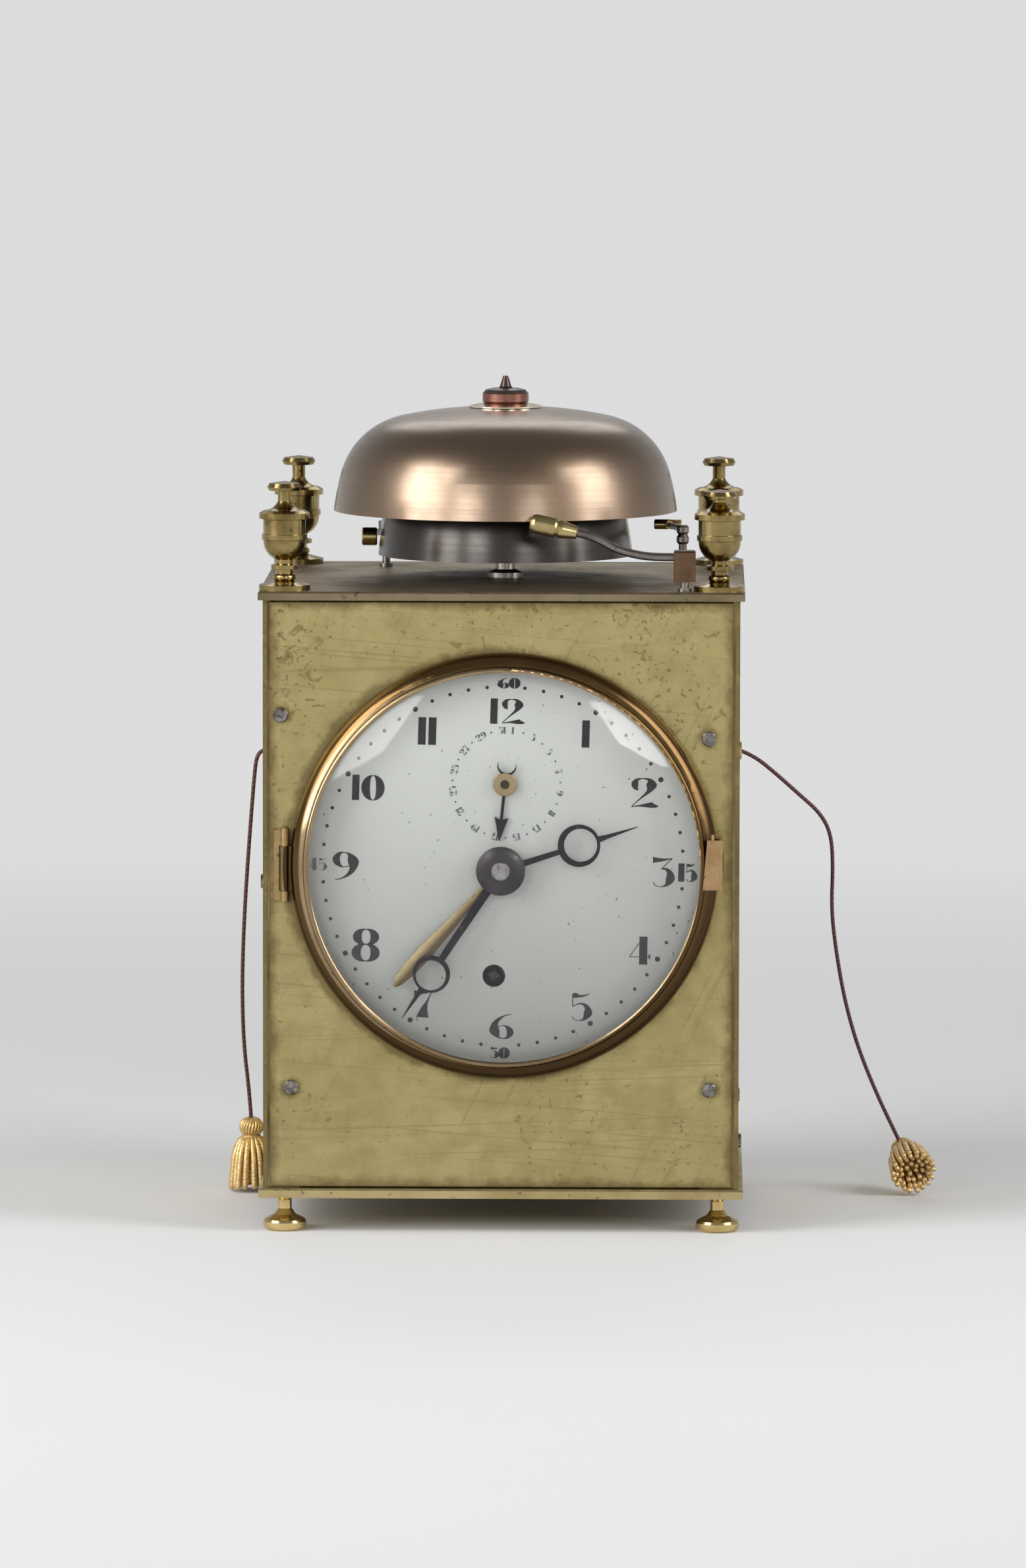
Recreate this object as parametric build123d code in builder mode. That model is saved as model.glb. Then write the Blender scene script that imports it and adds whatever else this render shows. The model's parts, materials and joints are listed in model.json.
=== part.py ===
"""Small travelling lantern clock: a boxed brass case with bells, hammers, enamel dial and movement.

Frame: +X to the viewer's right, -Y towards the viewer, +Z up, millimetres. The origin lies on the floor,
midway between the crown of the glass in front and the door's knob behind.
"""

from build123d import *
import os
from math import atan2, cos, degrees, hypot, radians, sin, tan

os.makedirs("parts", exist_ok=True)

# ---- case ----------------------------------------------------------------------------------------------
case_width = 130.0  # over the side panels
case_depth = 110.0  # from the face of the front panel to the back of the case
case_clear_height = 161.4  # between the base plate and the top plate
base_thick = 2.6
top_thick = 2.4
plate_overhang = 1.3  # of both plates beyond the case, all round
plate_bevel = 0.5
side_thick = 1.2
front_thick = 1.6
front_gap = 0.6  # between the front panel's edge and the side panels
panel_edge_gap = 0.35  # above and below the front panel
post_side = 9.0  # square corner posts
door_thick = 1.2
door_gap = 0.35  # around the rear door
door_barrel_radius = 1.15
door_pivot_radius = 0.75
latch_shaft_radius = 1.2
latch_knob_radius = 3.6
latch_knob_height = 3.2

# ---- feet and finials ----------------------------------------------------------------------------------
foot_height = 9.6
foot_radius = 6.0
foot_disc_height = 3.5
foot_neck_radius = 1.9
stud_radius = 1.5
stud_reach = 6.0  # of foot and finial studs into the posts
finial_base_radius = 7.0
finial_neck_radius = 1.8
finial_knob_radius = 4.7
finial_neck_heights = {"front_left": 2.6, "front_right": 0.6, "rear_left": 3.4, "rear_right": 3.4}

# ---- screws --------------------------------------------------------------------------------------------
screw_head_radius = 2.0
screw_head_height = 0.8
screw_radius = 1.0
screw_length = 6.0
screw_slot = 0.5
upper_screw_shifts = (-0.8, -2.7)  # of the left and right upper panel screws from the middles of their posts
lower_screw_shifts = (1.9, -2.4)
upper_screw_drops = (31.4, 37.6)  # below the top plate
lower_screw_rises = (27.8, 27.4)  # above the base plate
left_screw_height = 96.0
right_screw_height = 25.0

# ---- bells ---------------------------------------------------------------------------------------------
outer_bell_radius = 47.6
outer_bell_height = 28.6
outer_bell_lift = 18.6  # of the rim above the top plate
outer_bell_wall = 1.6
outer_bell_shoulder = (29.0, 26.0)  # radius and height above the rim where the crown meets the round
outer_bell_skirt = (45.7, 10.0)  # where the round meets the skirt
inner_bell_radius = 35.3
inner_bell_height = 27.0
inner_bell_lift = 6.3
inner_bell_wall = 1.4
inner_bell_shoulder = (19.4, 26.2)
inner_bell_skirt = (32.6, 15.0)
bell_post_radius = 2.0
bell_foot_radius = 5.0
bell_foot_height = 2.2
bell_shoulder_radius = 3.4
bell_washer_radius = 10.1
bell_washer_thick = 1.0
bell_nut_radius = 6.4
bell_nut_height = 4.2
bell_tip_height = 3.4

# ---- hammers -------------------------------------------------------------------------------------------
hammer_arbor_radius = 1.1
hammer_arm_radius = 0.85
hammer_gap = 0.6  # between a resting hammer and its bell
strike_arbor_inset = 9.5  # from the middle of the front right post
strike_hub_lift = 2.8  # above the top plate
strike_hub_height = 8.4
strike_hub_side = 6.0
strike_arm_radius = 1.15
strike_head_x = 11.3  # of the middle of its barrel
strike_head_lift = 17.8
strike_head_radius = 2.65
strike_head_length = 7.4
strike_ferrule_length = 5.8
strike_head_tilt = 12.0  # of its axis, higher at the free end
alarm_arbor_inset = 1.1  # sideways, inside the edge of the inner bell
alarm_arbor_gap = 1.2  # behind the edge of the inner bell
alarm_head_radius = 2.5
alarm_head_length = 4.2
alarm_head_lift = 10.9
alarm_head_back = 2.5  # of its axis behind the bell's
repeat_arbor_inset = 10.1  # from the middles of the posts at the right
repeat_arbor_back = -10.5
repeat_head_inset = 4.2  # from its arbor
repeat_head_back = 9.5
repeat_head_radius = 1.4
repeat_head_length = 7.6
repeat_head_lift = 14.0
hammer_arbor_reach = 18.0  # of the hammers' arbors below the top plate
hammer_tail = 7.0

# ---- dial and bezel ------------------------------------------------------------------------------------
dial_drop = 73.4  # of the hands' centre below the top plate
dial_radius = 54.5
dial_thick = 1.2
dial_crown = 2.0
dial_setback = 0.3  # of the dial's edge behind the front panel's face
dial_clearance = 0.4  # between the dial and the hole in the front panel
dial_foot_radius = 1.1
dial_foot_circle = 40.0
winding_hole_radius = 3.1
bezel_x, bezel_rise = 1.0, 1.0  # the bezel hangs a little right of and above the dial
bezel_radius = 58.4
bezel_lip_radius = 53.3
bezel_bore_radius = 54.6  # behind the glass
bezel_bead_width = 1.2  # of the fine bead round the glass
bezel_gap = 0.2  # between the shut bezel and the front panel
glass_seat = 5.4  # of the glass's back edge ahead of the front panel
glass_thick = 1.5
glass_sag = 3.5
glass_crown_radius = 38.0  # where the flat crown of the glass meets its steeper edge
glass_crown_drop = 0.9
bezel_depth = 7.4
hinge_gap = 1.5  # between the hinge's axis and the bezel
hinge_reach = 1.5  # of the hinge's axis ahead of the front panel
hinge_barrel_radius = 1.15
hinge_pin_radius = 0.5
hinge_drop, hinge_rise = 8.9, 10.8  # its ends below and above the dial's centre
hinge_knuckle_drop, hinge_knuckle_rise = 5.9, 6.2  # the bezel's own knuckle
hinge_leaf_width = 1.6
hinge_leaf_thick = 0.9
catch_drop, catch_rise = 4.8, 8.8
catch_width = 5.4
catch_overhang = 1.0  # outside the bezel
catch_thick = 0.8
catch_tongue = 1.1  # depth of its spring tongue in the front panel

# ---- hands ---------------------------------------------------------------------------------------------
hand_thick = 0.5
date_hand_reach = 2.0  # of each hand's back face ahead of the front panel
alarm_hand_reach = 3.2
hour_hand_reach = 4.1
minute_hand_reach = 5.1
hour_angle, minute_angle, alarm_angle, date_angle = 18.0, 236.4, 227.6, 264.1  # from +X, anticlockwise
hour_length, hour_ring_at, hour_ring_radius = 39.3, 22.4, 5.8
minute_length, minute_ring_at, minute_ring_radius = 48.5, 34.0, 5.1
alarm_length = 43.2
date_length = 15.6
date_x, date_rise = 1.1, 23.4  # above the dial's centre
date_arbor_radius = 0.9
date_disc_radius, date_disc_thick, date_dimple_radius = 3.2, 0.4, 1.2
hour_hub_radius, minute_hub_radius, alarm_hub_radius, date_hub_radius = 3.6, 3.6, 4.2, 1.8
alarm_disc_radius, alarm_disc_thick = 9.0, 0.8
collet_radius = 6.7
collet_height = 1.0
hand_screw_radius = 2.5
hand_screw_height = 0.6

# ---- movement ------------------------------------------------------------------------------------------
movement_setback = 10.0  # of the front movement plate behind the front panel's face
movement_plate_thick = 1.8
movement_plate_width = 88.0
movement_spacing = 44.0  # between the two plates
movement_leg_width = 14.0
movement_below, movement_above = 60.2, 59.8  # full width so far below and above the dial's centre
tenon_width = 8.0
tenon_height = 1.4
pillar_radius = 2.6
pillar_stud_radius = 1.3
pillar_inset = 6.0  # from the sides of the movement plates
pillar_rise, pillar_drop = 10.0, 8.0  # above and below the edges of their full width
fit = 0.05  # radial clearance of every pivot, stud and pipe
winding_x, winding_drop = -1.9, 29.2  # drops and rises are from the dial's centre
third_x, third_rise = 16.0, 15.8
escape_x, escape_rise = 0.0, 29.8
pallet_rise = 47.3
minute_stud_x, minute_stud_drop = -13.86, 8.0
great_teeth, centre_pinion_leaves = 60, 10
centre_teeth, third_pinion_leaves = 72, 6
third_teeth, escape_pinion_leaves = 66, 6
escape_teeth = 39
cannon_leaves, minute_teeth, minute_pinion_leaves, hour_teeth = 10, 30, 8, 32
date_teeth = 31
date_wheel_radius = 7.5
ratchet_teeth = 18
wheel_thick = 1.4
pinion_length = 3.6
arbor_radius = 1.2
pivot_radius = 0.8
barrel_radius = 19.0
barrel_length = 20.0
barrel_arbor_radius = 2.0
winding_square = 2.6
ratchet_radius = 7.0
escape_radius = 12.5
cannon_radius = 1.6
hour_pipe_radius = 2.2
alarm_pipe_radius = 2.8
centre_arbor_radius = 0.9
pendulum_rod_radius = 0.6
pendulum_back = 13.0  # of the pendulum behind the rear movement plate
pendulum_length = 116.0
bob_radius = 10.0
bob_thick = 6.0
crutch_length = 26.0
click_out, click_rise = 11.5, 3.0  # from the winding arbor
pulley_x, pulley_radius, pulley_flange_radius, pulley_width = 37.0, 6.0, 7.6, 6.0

# ---- pull cords ----------------------------------------------------------------------------------------
cord_radius = 0.55
cord_height = 127.0  # of the eyelets
cord_gap = 4.9  # from the back of the movement to the middle of the cords and their pulleys
eyelet_flange_radius = 2.6
eyelet_flange_thick = 0.8
eyelet_radius = 1.6
tassel_length = 20.8
tassel_skirt_radius = 6.6
tassel_head_radius = 3.5

# ---- levels and planes worked out from the sizes above -------------------------------------------------
glass_reach = glass_seat + glass_sag + glass_thick
knob_reach = case_depth - front_thick + door_gap + door_barrel_radius + door_thick / 2 + latch_knob_height
front_y = (glass_reach - knob_reach) / 2
middle_y = front_y + case_depth / 2
plate_width = case_width + 2 * plate_overhang
plate_depth = case_depth + 2 * plate_overhang
floor_z = foot_height + base_thick  # the upper face of the base plate
ceiling_z = floor_z + case_clear_height
roof_z = ceiling_z + top_thick
side_x = case_width / 2
post_x = side_x - side_thick - post_side / 2
post_front_y = front_y + front_thick + post_side / 2
post_rear_y = 2 * middle_y - post_front_y
post_centres = (
    (-post_x, post_front_y),
    (post_x, post_front_y),
    (-post_x, post_rear_y),
    (post_x, post_rear_y),
)
post_names = ("front_left", "front_right", "rear_left", "rear_right")
panel_screw_places = (
    (-post_x + upper_screw_shifts[0], ceiling_z - upper_screw_drops[0]),
    (post_x + upper_screw_shifts[1], ceiling_z - upper_screw_drops[1]),
    (-post_x + lower_screw_shifts[0], floor_z + lower_screw_rises[0]),
    (post_x + lower_screw_shifts[1], floor_z + lower_screw_rises[1]),
)
outer_bell_rim = roof_z + outer_bell_lift
inner_bell_rim = roof_z + inner_bell_lift
strike_arbor_x = post_x - strike_arbor_inset
strike_hub_low = roof_z + strike_hub_lift
strike_hub_high = strike_hub_low + strike_hub_height
strike_head_height = roof_z + strike_head_lift
alarm_arbor_x = alarm_arbor_inset - inner_bell_radius
alarm_arbor_back = inner_bell_radius + alarm_arbor_gap
alarm_head_height = roof_z + alarm_head_lift
repeat_arbor_x = post_x - repeat_arbor_inset
repeat_head_x = repeat_arbor_x - repeat_head_inset
repeat_head_height = roof_z + repeat_head_lift
dial_height = ceiling_z - dial_drop
bezel_z = dial_height + bezel_rise
hinge_x = bezel_x - bezel_radius - hinge_gap
hinge_low, hinge_high = dial_height - hinge_drop, dial_height + hinge_rise
hinge_knuckle_low, hinge_knuckle_high = dial_height - hinge_knuckle_drop, dial_height + hinge_knuckle_rise
catch_low, catch_high = dial_height - catch_drop, dial_height + catch_rise
date_z = dial_height + date_rise
movement_low, movement_high = dial_height - movement_below, dial_height + movement_above
pillar_x = movement_plate_width / 2 - pillar_inset
pillar_places = tuple(
    (x, z) for z in (movement_low + pillar_rise, movement_high - pillar_drop) for x in (-pillar_x, pillar_x)
)
winding_z = dial_height - winding_drop
third_z = dial_height + third_rise
escape_z = dial_height + escape_rise
pallet_z = dial_height + pallet_rise
minute_stud_z = dial_height - minute_stud_drop
click_x, click_z = winding_x + click_out, winding_z + click_rise
door_pivot_x = -(side_x - side_thick - door_barrel_radius - 0.1)
door_pivot_y = post_rear_y + post_side / 2 + door_gap + door_barrel_radius
movement_front_y = front_y + movement_setback
movement_inner_y = movement_front_y + movement_plate_thick
movement_rear_y = movement_inner_y + movement_spacing
movement_back_y = movement_rear_y + movement_plate_thick
pendulum_y = movement_back_y + pendulum_back
hinge_y = front_y - hinge_reach
alarm_disc_y = movement_front_y - 7.15  # front face of the alarm disc
cord_y = movement_back_y + cord_gap


def at_depth(y):
    """Upright plane at depth y whose own axes are X and Z; extruding it forwards goes towards -Y."""
    return Plane.XZ.offset(-y)


def upright(x, y):
    """Vertical line at x, y."""
    return Axis((x, y, 0), (0, 0, 1))


def upright_section(x, y):
    """Plane for half a section of a piece turned about the vertical line at x, y: radius, height."""
    return Plane(origin=(x, y, 0), x_dir=(1, 0, 0), z_dir=(0, -1, 0))


def arbor_axis(x, z):
    """Front-to-back line at x and height z."""
    return Axis((x, 0, z), (0, 1, 0))


def arbor_section(x, z):
    """Plane for half a section of a piece turned about a front-to-back line: radius, depth."""
    return Plane(origin=(x, 0, z))


def write(builder, name):
    """Label a finished piece and write it to its own file."""
    builder.part.label = name
    export_step(builder.part, f"parts/{name}.step")


def ring_points(radius, angles):
    """Points on a circle at the given angles, in degrees."""
    return [(radius * cos(radians(a)), radius * sin(radians(a))) for a in angles]


def wheel_outline(teeth, module, towards):
    """Corners of a cut wheel with V-shaped spaces; one tooth points towards the given angle."""
    pitch, step = teeth * module / 2, 360 / teeth
    tip, root = pitch + 0.85 * module, pitch - 1.25 * module
    corners = []
    for tooth in range(teeth):
        middle = towards + tooth * step
        corners += ring_points(root, [middle - step / 2])
        corners += ring_points(tip, [middle - 0.11 * step, middle + 0.11 * step])
    return corners


def pinion_outline(leaves, module, towards):
    """Corners of a pinion with slim leaves; one space faces the given angle."""
    pitch, step = leaves * module / 2, 360 / leaves
    tip, root = pitch + 0.5 * module, max(pitch - 1.4 * module, 0.4 * pitch)
    corners = []
    for leaf in range(leaves):
        middle = towards + (leaf + 0.5) * step
        corners += ring_points(root, [middle - 0.2 * step])
        corners += ring_points(tip, [middle - 0.09 * step, middle + 0.09 * step])
        corners += ring_points(root, [middle + 0.2 * step])
    return corners


def saw_outline(teeth, tip, root, lean):
    """Corners of a wheel with pointed teeth that lean by a share of their pitch."""
    step = 360 / teeth
    corners = []
    for tooth in range(teeth):
        corners += ring_points(root, [tooth * step])
        corners += ring_points(tip, [(tooth + lean) * step])
    return corners


def outline_sketch(plane, corners, *holes):
    """Flat face inside the corners, with round holes given as (x, y, radius)."""
    with BuildSketch(plane) as sketch:
        with BuildLine():
            Polyline(*corners, close=True)
        make_face()
        for x, y, radius in holes:
            with Locations((x, y)):
                Circle(radius, mode=Mode.SUBTRACT)
    return sketch.sketch


def direction(x0, z0, x1, z1):
    """Angle in degrees, seen from the front, of the line from one arbor to another."""
    return degrees(atan2(z1 - z0, x1 - x0))


def mesh_module(x0, z0, x1, z1, teeth):
    """Module that puts two wheels with this many teeth together in mesh on two arbors."""
    return 2 * hypot(x1 - x0, z1 - z0) / teeth


# ======================================== case ==========================================================
with BuildPart() as base_plate:
    with BuildSketch(Plane.XY.offset(foot_height)):
        with Locations((0, middle_y)):
            Rectangle(plate_width, plate_depth)
    extrude(amount=base_thick)
    chamfer(base_plate.faces().sort_by(Axis.Z)[-1].outer_wire().edges(), plate_bevel)
    with Locations(*[(x, y, floor_z) for x, y in post_centres]):
        Hole(stud_radius + fit, depth=base_thick)
    with Locations((door_pivot_x, door_pivot_y, floor_z)):
        Hole(door_pivot_radius + fit, depth=base_thick)
    for y in (movement_inner_y, movement_back_y):
        with BuildSketch(Plane.XY.offset(floor_z)):
            with Locations((0, y - movement_plate_thick / 2)):
                with GridLocations(movement_plate_width - movement_leg_width, 0, 2, 1):
                    Rectangle(tenon_width + 2 * fit, movement_plate_thick + 2 * fit)
        extrude(amount=-(tenon_height + fit), mode=Mode.SUBTRACT)
write(base_plate, "base_plate")

bell_hole_radius = bell_post_radius + fit
hammer_arbors = (
    (strike_arbor_x, post_front_y - post_side / 2 + hammer_arbor_radius + 0.3),
    (alarm_arbor_x, middle_y + alarm_arbor_back),
    (repeat_arbor_x, middle_y + repeat_arbor_back),
)
with BuildPart() as top_plate:
    with BuildSketch(Plane.XY.offset(ceiling_z)):
        with Locations((0, middle_y)):
            Rectangle(plate_width, plate_depth)
    extrude(amount=top_thick)
    chamfer(top_plate.faces().sort_by(Axis.Z)[-1].outer_wire().edges(), plate_bevel)
    with Locations(*[(x, y, roof_z) for x, y in post_centres]):
        Hole(stud_radius + fit, depth=top_thick)
    with Locations((0, middle_y, roof_z)):
        Hole(bell_hole_radius, depth=top_thick)
    with Locations(*[(x, y, roof_z) for x, y in hammer_arbors]):
        Hole(hammer_arbor_radius + fit, depth=top_thick)
    with Locations((door_pivot_x, door_pivot_y, roof_z)):
        Hole(door_pivot_radius + fit, depth=top_thick)
    for y in (movement_inner_y, movement_back_y):
        with BuildSketch(Plane.XY.offset(ceiling_z)):
            with Locations((0, y - movement_plate_thick / 2)):
                with GridLocations(movement_plate_width - movement_leg_width, 0, 2, 1):
                    Rectangle(tenon_width + 2 * fit, movement_plate_thick + 2 * fit)
        extrude(amount=tenon_height + fit, mode=Mode.SUBTRACT)
write(top_plate, "top_plate")

latch_height = floor_z + case_clear_height / 2
latch_x = post_x - post_side / 2 - 5.0
latch_slot_depth, latch_slot_low, latch_slot_high = 3.2, 2.5, 7.5  # into the post, below and above the shaft
latch_cam_thick = 1.2
latch_cam_y = post_rear_y + post_side / 2 - 3.0  # front face of the cam
side_screws = [
    (sign, y, height)
    for sign, height in ((-1, left_screw_height), (1, right_screw_height))
    for y in (post_front_y, post_rear_y)
]
with BuildPart() as corner_posts:
    with BuildSketch(Plane.XY.offset(floor_z)):
        with Locations(*post_centres):
            Rectangle(post_side, post_side)
    extrude(amount=case_clear_height)
    for level, away in ((floor_z, 1), (ceiling_z, -1)):
        with BuildSketch(Plane.XY.offset(level)):
            with Locations(*post_centres):
                Circle(stud_radius + fit)
        extrude(amount=away * (stud_reach + 1), mode=Mode.SUBTRACT)
    with BuildSketch(at_depth(front_y + front_thick)):
        with Locations(*panel_screw_places):
            Circle(screw_radius + fit)
    extrude(amount=-(screw_length - front_thick + 0.5), mode=Mode.SUBTRACT)
    for sign, y, height in side_screws:
        with BuildSketch(Plane(origin=(sign * (side_x - side_thick), y, height), z_dir=(-sign, 0, 0))):
            Circle(screw_radius + fit)
        extrude(amount=screw_length - side_thick + 0.5, mode=Mode.SUBTRACT)
    with BuildSketch(at_depth(latch_cam_y + latch_cam_thick + 0.4)):
        with Locations((post_x - post_side / 2, latch_height + (latch_slot_high - latch_slot_low) / 2)):
            Rectangle(2 * latch_slot_depth, latch_slot_low + latch_slot_high)
    extrude(amount=latch_cam_thick + 0.8, mode=Mode.SUBTRACT)
write(corner_posts, "corner_posts")

side_end_y = post_rear_y + post_side / 2
for sign, name in ((-1, "left_side_panel"), (1, "right_side_panel")):
    with BuildPart() as side_panel:
        with BuildSketch(Plane(origin=(sign * side_x, 0, 0), x_dir=(0, 1, 0), z_dir=(-sign, 0, 0))):
            with BuildLine():
                Polyline(
                    (front_y, -sign * floor_z),
                    (side_end_y, -sign * floor_z),
                    (side_end_y, -sign * ceiling_z),
                    (front_y, -sign * ceiling_z),
                    close=True,
                )
            make_face()
            with Locations((cord_y, -sign * cord_height)):
                Circle(eyelet_radius + fit, mode=Mode.SUBTRACT)
            for side, y, height in side_screws:
                if side == sign:
                    with Locations((y, -sign * height)):
                        Circle(screw_radius + fit, mode=Mode.SUBTRACT)
        extrude(amount=side_thick)
    write(side_panel, name)

panel_half_width = side_x - side_thick - front_gap
panel_low, panel_high = floor_z + panel_edge_gap, ceiling_z - panel_edge_gap
bezel_right_x = bezel_x + bezel_radius
catch_y = front_y - bezel_depth - catch_thick
catch_outer_x = bezel_right_x + catch_overhang
catch_z = (catch_low + catch_high) / 2
tongue_x, tongue_thick, tongue_height = catch_outer_x - 0.5, 0.6, 4.0
with BuildPart() as front_panel:
    with BuildSketch(at_depth(front_y)):
        with Locations((0, (panel_low + panel_high) / 2)):
            Rectangle(2 * panel_half_width, panel_high - panel_low)
    extrude(amount=-front_thick)
    chamfer(front_panel.faces().sort_by(Axis.Y)[0].outer_wire().edges(), 0.3)
    with BuildSketch(at_depth(front_y)):
        with Locations((0, dial_height)):
            Circle(dial_radius + dial_clearance)
        with Locations(*panel_screw_places):
            Circle(screw_radius + fit)
    extrude(amount=-front_thick, mode=Mode.SUBTRACT)
    with BuildSketch(at_depth(front_y)):
        with Locations((tongue_x, catch_z)):
            Rectangle(tongue_thick + 0.8, tongue_height + 1.0)
    extrude(amount=-(catch_tongue + 0.3), mode=Mode.SUBTRACT)
write(front_panel, "front_panel")


def screw(plane, turn):
    """A round-headed screw whose head stands on the plane, with its slot turned by an angle."""
    with BuildPart() as fastener:
        with BuildSketch(plane):
            Circle(screw_head_radius)
        extrude(amount=screw_head_height)
        chamfer(fastener.faces().sort_by(Axis(plane.origin, plane.z_dir))[-1].edges(), 0.25)
        with BuildSketch(plane.offset(screw_head_height)):
            Rectangle(2.2 * screw_head_radius, screw_slot, rotation=turn)
        extrude(amount=-0.45, mode=Mode.SUBTRACT)
        with BuildSketch(plane):
            Circle(screw_radius)
        extrude(amount=-screw_length)
    return fastener.part


screw_turns = (35.0, -62.0, 12.0, 80.0)
with BuildPart() as case_screws:
    for (x, height), turn in zip(panel_screw_places, screw_turns):
        add(screw(Plane(origin=(x, front_y, height), x_dir=(1, 0, 0), z_dir=(0, -1, 0)), turn))
    for (sign, y, height), turn in zip(side_screws, screw_turns):
        add(screw(Plane(origin=(sign * side_x, y, height), x_dir=(0, 1, 0), z_dir=(sign, 0, 0)), turn))
write(case_screws, "case_screws")

foot_outline = (
    (0.0, 0.0),
    (0.8 * foot_radius, 0.0),
    (0.95 * foot_radius, 0.6),
    (foot_radius, 1.3),
    (foot_radius, 0.3 * foot_disc_height + 1.3),
    (0.95 * foot_radius, 0.85 * foot_disc_height),
    (0.8 * foot_radius, foot_disc_height),
    (0.5 * foot_radius, foot_disc_height + 0.8),
    (foot_neck_radius, foot_disc_height + 2.4),
    (foot_neck_radius, foot_height - 1.4),
    (foot_neck_radius + 1.1, foot_height),
    (stud_radius, foot_height),
    (stud_radius, floor_z + stud_reach),
    (0.0, floor_z + stud_reach),
)
with BuildPart() as feet:
    for x, y in post_centres:
        with BuildSketch(upright_section(x, y)):
            with BuildLine():
                Polyline(*foot_outline, close=True)
            make_face()
        revolve(axis=upright(x, y))
write(feet, "feet")

finial_cone_top = 24.2  # where the neck of a finial starts, above the top plate
with BuildPart() as finials:
    for (x, y), corner in zip(post_centres, post_names):
        neck = finial_cone_top + finial_neck_heights[corner]
        with BuildSketch(upright_section(x, y)):
            with BuildLine():
                foot = Polyline(
                    (0, roof_z - top_thick - stud_reach),
                    (stud_radius, roof_z - top_thick - stud_reach),
                    (stud_radius, roof_z),
                    (finial_base_radius, roof_z),
                    (finial_base_radius, roof_z + 1.4),
                    (2.5, roof_z + 2.6),
                )
                bead = ThreePointArc(foot @ 1, (3.1, roof_z + 3.5), (2.3, roof_z + 4.4))
                stem = Polyline(
                    bead @ 1,
                    (2.3, roof_z + 5.4),
                    (3.7, roof_z + 5.7),
                    (3.7, roof_z + 6.8),
                    (2.3, roof_z + 7.2),
                    (2.3, roof_z + 8.2),
                )
                bowl = ThreePointArc(stem @ 1, (5.0, roof_z + 10.6), (5.8, roof_z + 13.6))
                urn = Polyline(
                    bowl @ 1,
                    (6.2, roof_z + 13.8),
                    (6.2, roof_z + 15.2),
                    (5.8, roof_z + 15.3),
                    (5.8, roof_z + 19.2),
                    (6.9, roof_z + 19.5),
                    (6.9, roof_z + 21.0),
                    (5.6, roof_z + 21.7),
                )
                cone = ThreePointArc(
                    urn @ 1, (2.9, roof_z + 22.7), (finial_neck_radius, roof_z + finial_cone_top)
                )
                knob = Polyline(
                    cone @ 1,
                    (finial_neck_radius, roof_z + neck),
                    (finial_knob_radius - 0.5, roof_z + neck + 0.3),
                    (finial_knob_radius, roof_z + neck + 1.2),
                    (finial_knob_radius - 0.6, roof_z + neck + 2.3),
                    (0, roof_z + neck + 2.9),
                    foot @ 0,
                )
            make_face()
        revolve(axis=upright(x, y))
write(finials, "finials")

door_low, door_high = floor_z + door_gap, ceiling_z - door_gap
door_right_x = side_x - 0.1
door_back_y = door_pivot_y + door_thick / 2
with BuildPart() as rear_door:
    with BuildSketch(at_depth(door_back_y)):
        with Locations(((door_pivot_x + door_right_x) / 2, (door_low + door_high) / 2)):
            Rectangle(door_right_x - door_pivot_x, door_high - door_low)
    extrude(amount=door_thick)
    with BuildSketch(Plane.XY.offset(door_low)):
        with Locations((door_pivot_x, door_pivot_y)):
            Circle(door_barrel_radius)
    extrude(amount=door_high - door_low)
    with BuildSketch(Plane.XY.offset(floor_z - base_thick + 0.6)):
        with Locations((door_pivot_x, door_pivot_y)):
            Circle(door_pivot_radius)
    extrude(amount=case_clear_height + base_thick + top_thick - 1.2)
    with BuildSketch(at_depth(door_back_y)):
        with Locations((latch_x, latch_height)):
            Circle(latch_shaft_radius + fit)
    extrude(amount=door_thick, mode=Mode.SUBTRACT)
write(rear_door, "rear_door")

latch_length = post_x - post_side / 2 + latch_slot_depth - 0.8 - latch_x
with BuildPart() as door_latch:
    with BuildSketch(arbor_section(latch_x, latch_height)):
        with BuildLine():
            Polyline(
                (0, latch_cam_y),
                (2.0, latch_cam_y),
                (2.0, door_back_y - door_thick - fit),
                (latch_shaft_radius, door_back_y - door_thick - fit),
                (latch_shaft_radius, door_back_y + fit),
                (2.0, door_back_y + fit),
                (2.0, door_back_y + 0.2 * latch_knob_height),
                (1.5, door_back_y + 0.35 * latch_knob_height),
                (latch_knob_radius - 0.5, door_back_y + 0.45 * latch_knob_height),
                (latch_knob_radius, door_back_y + 0.65 * latch_knob_height),
                (latch_knob_radius - 0.7, door_back_y + 0.9 * latch_knob_height),
                (0, door_back_y + latch_knob_height),
                close=True,
            )
        make_face()
    revolve(axis=arbor_axis(latch_x, latch_height))
    with BuildSketch(at_depth(latch_cam_y)):
        with BuildLine():
            Polyline(
                (latch_x - 1.5, latch_height - 1.2),
                (latch_x + 1.5, latch_height - 1.2),
                (latch_x + 1.1, latch_height + latch_length),
                (latch_x - 1.1, latch_height + latch_length),
                close=True,
            )
        make_face()
    extrude(amount=-latch_cam_thick)
write(door_latch, "door_latch")


# ======================================== bells =========================================================
def middle_of(line, wall):
    """Point halfway along an outer line, moved inwards by the wall."""
    slope, corner = line % 0.5, line @ 0.5
    return (corner.X + wall * slope.Y, corner.Y - wall * slope.X)


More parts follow.
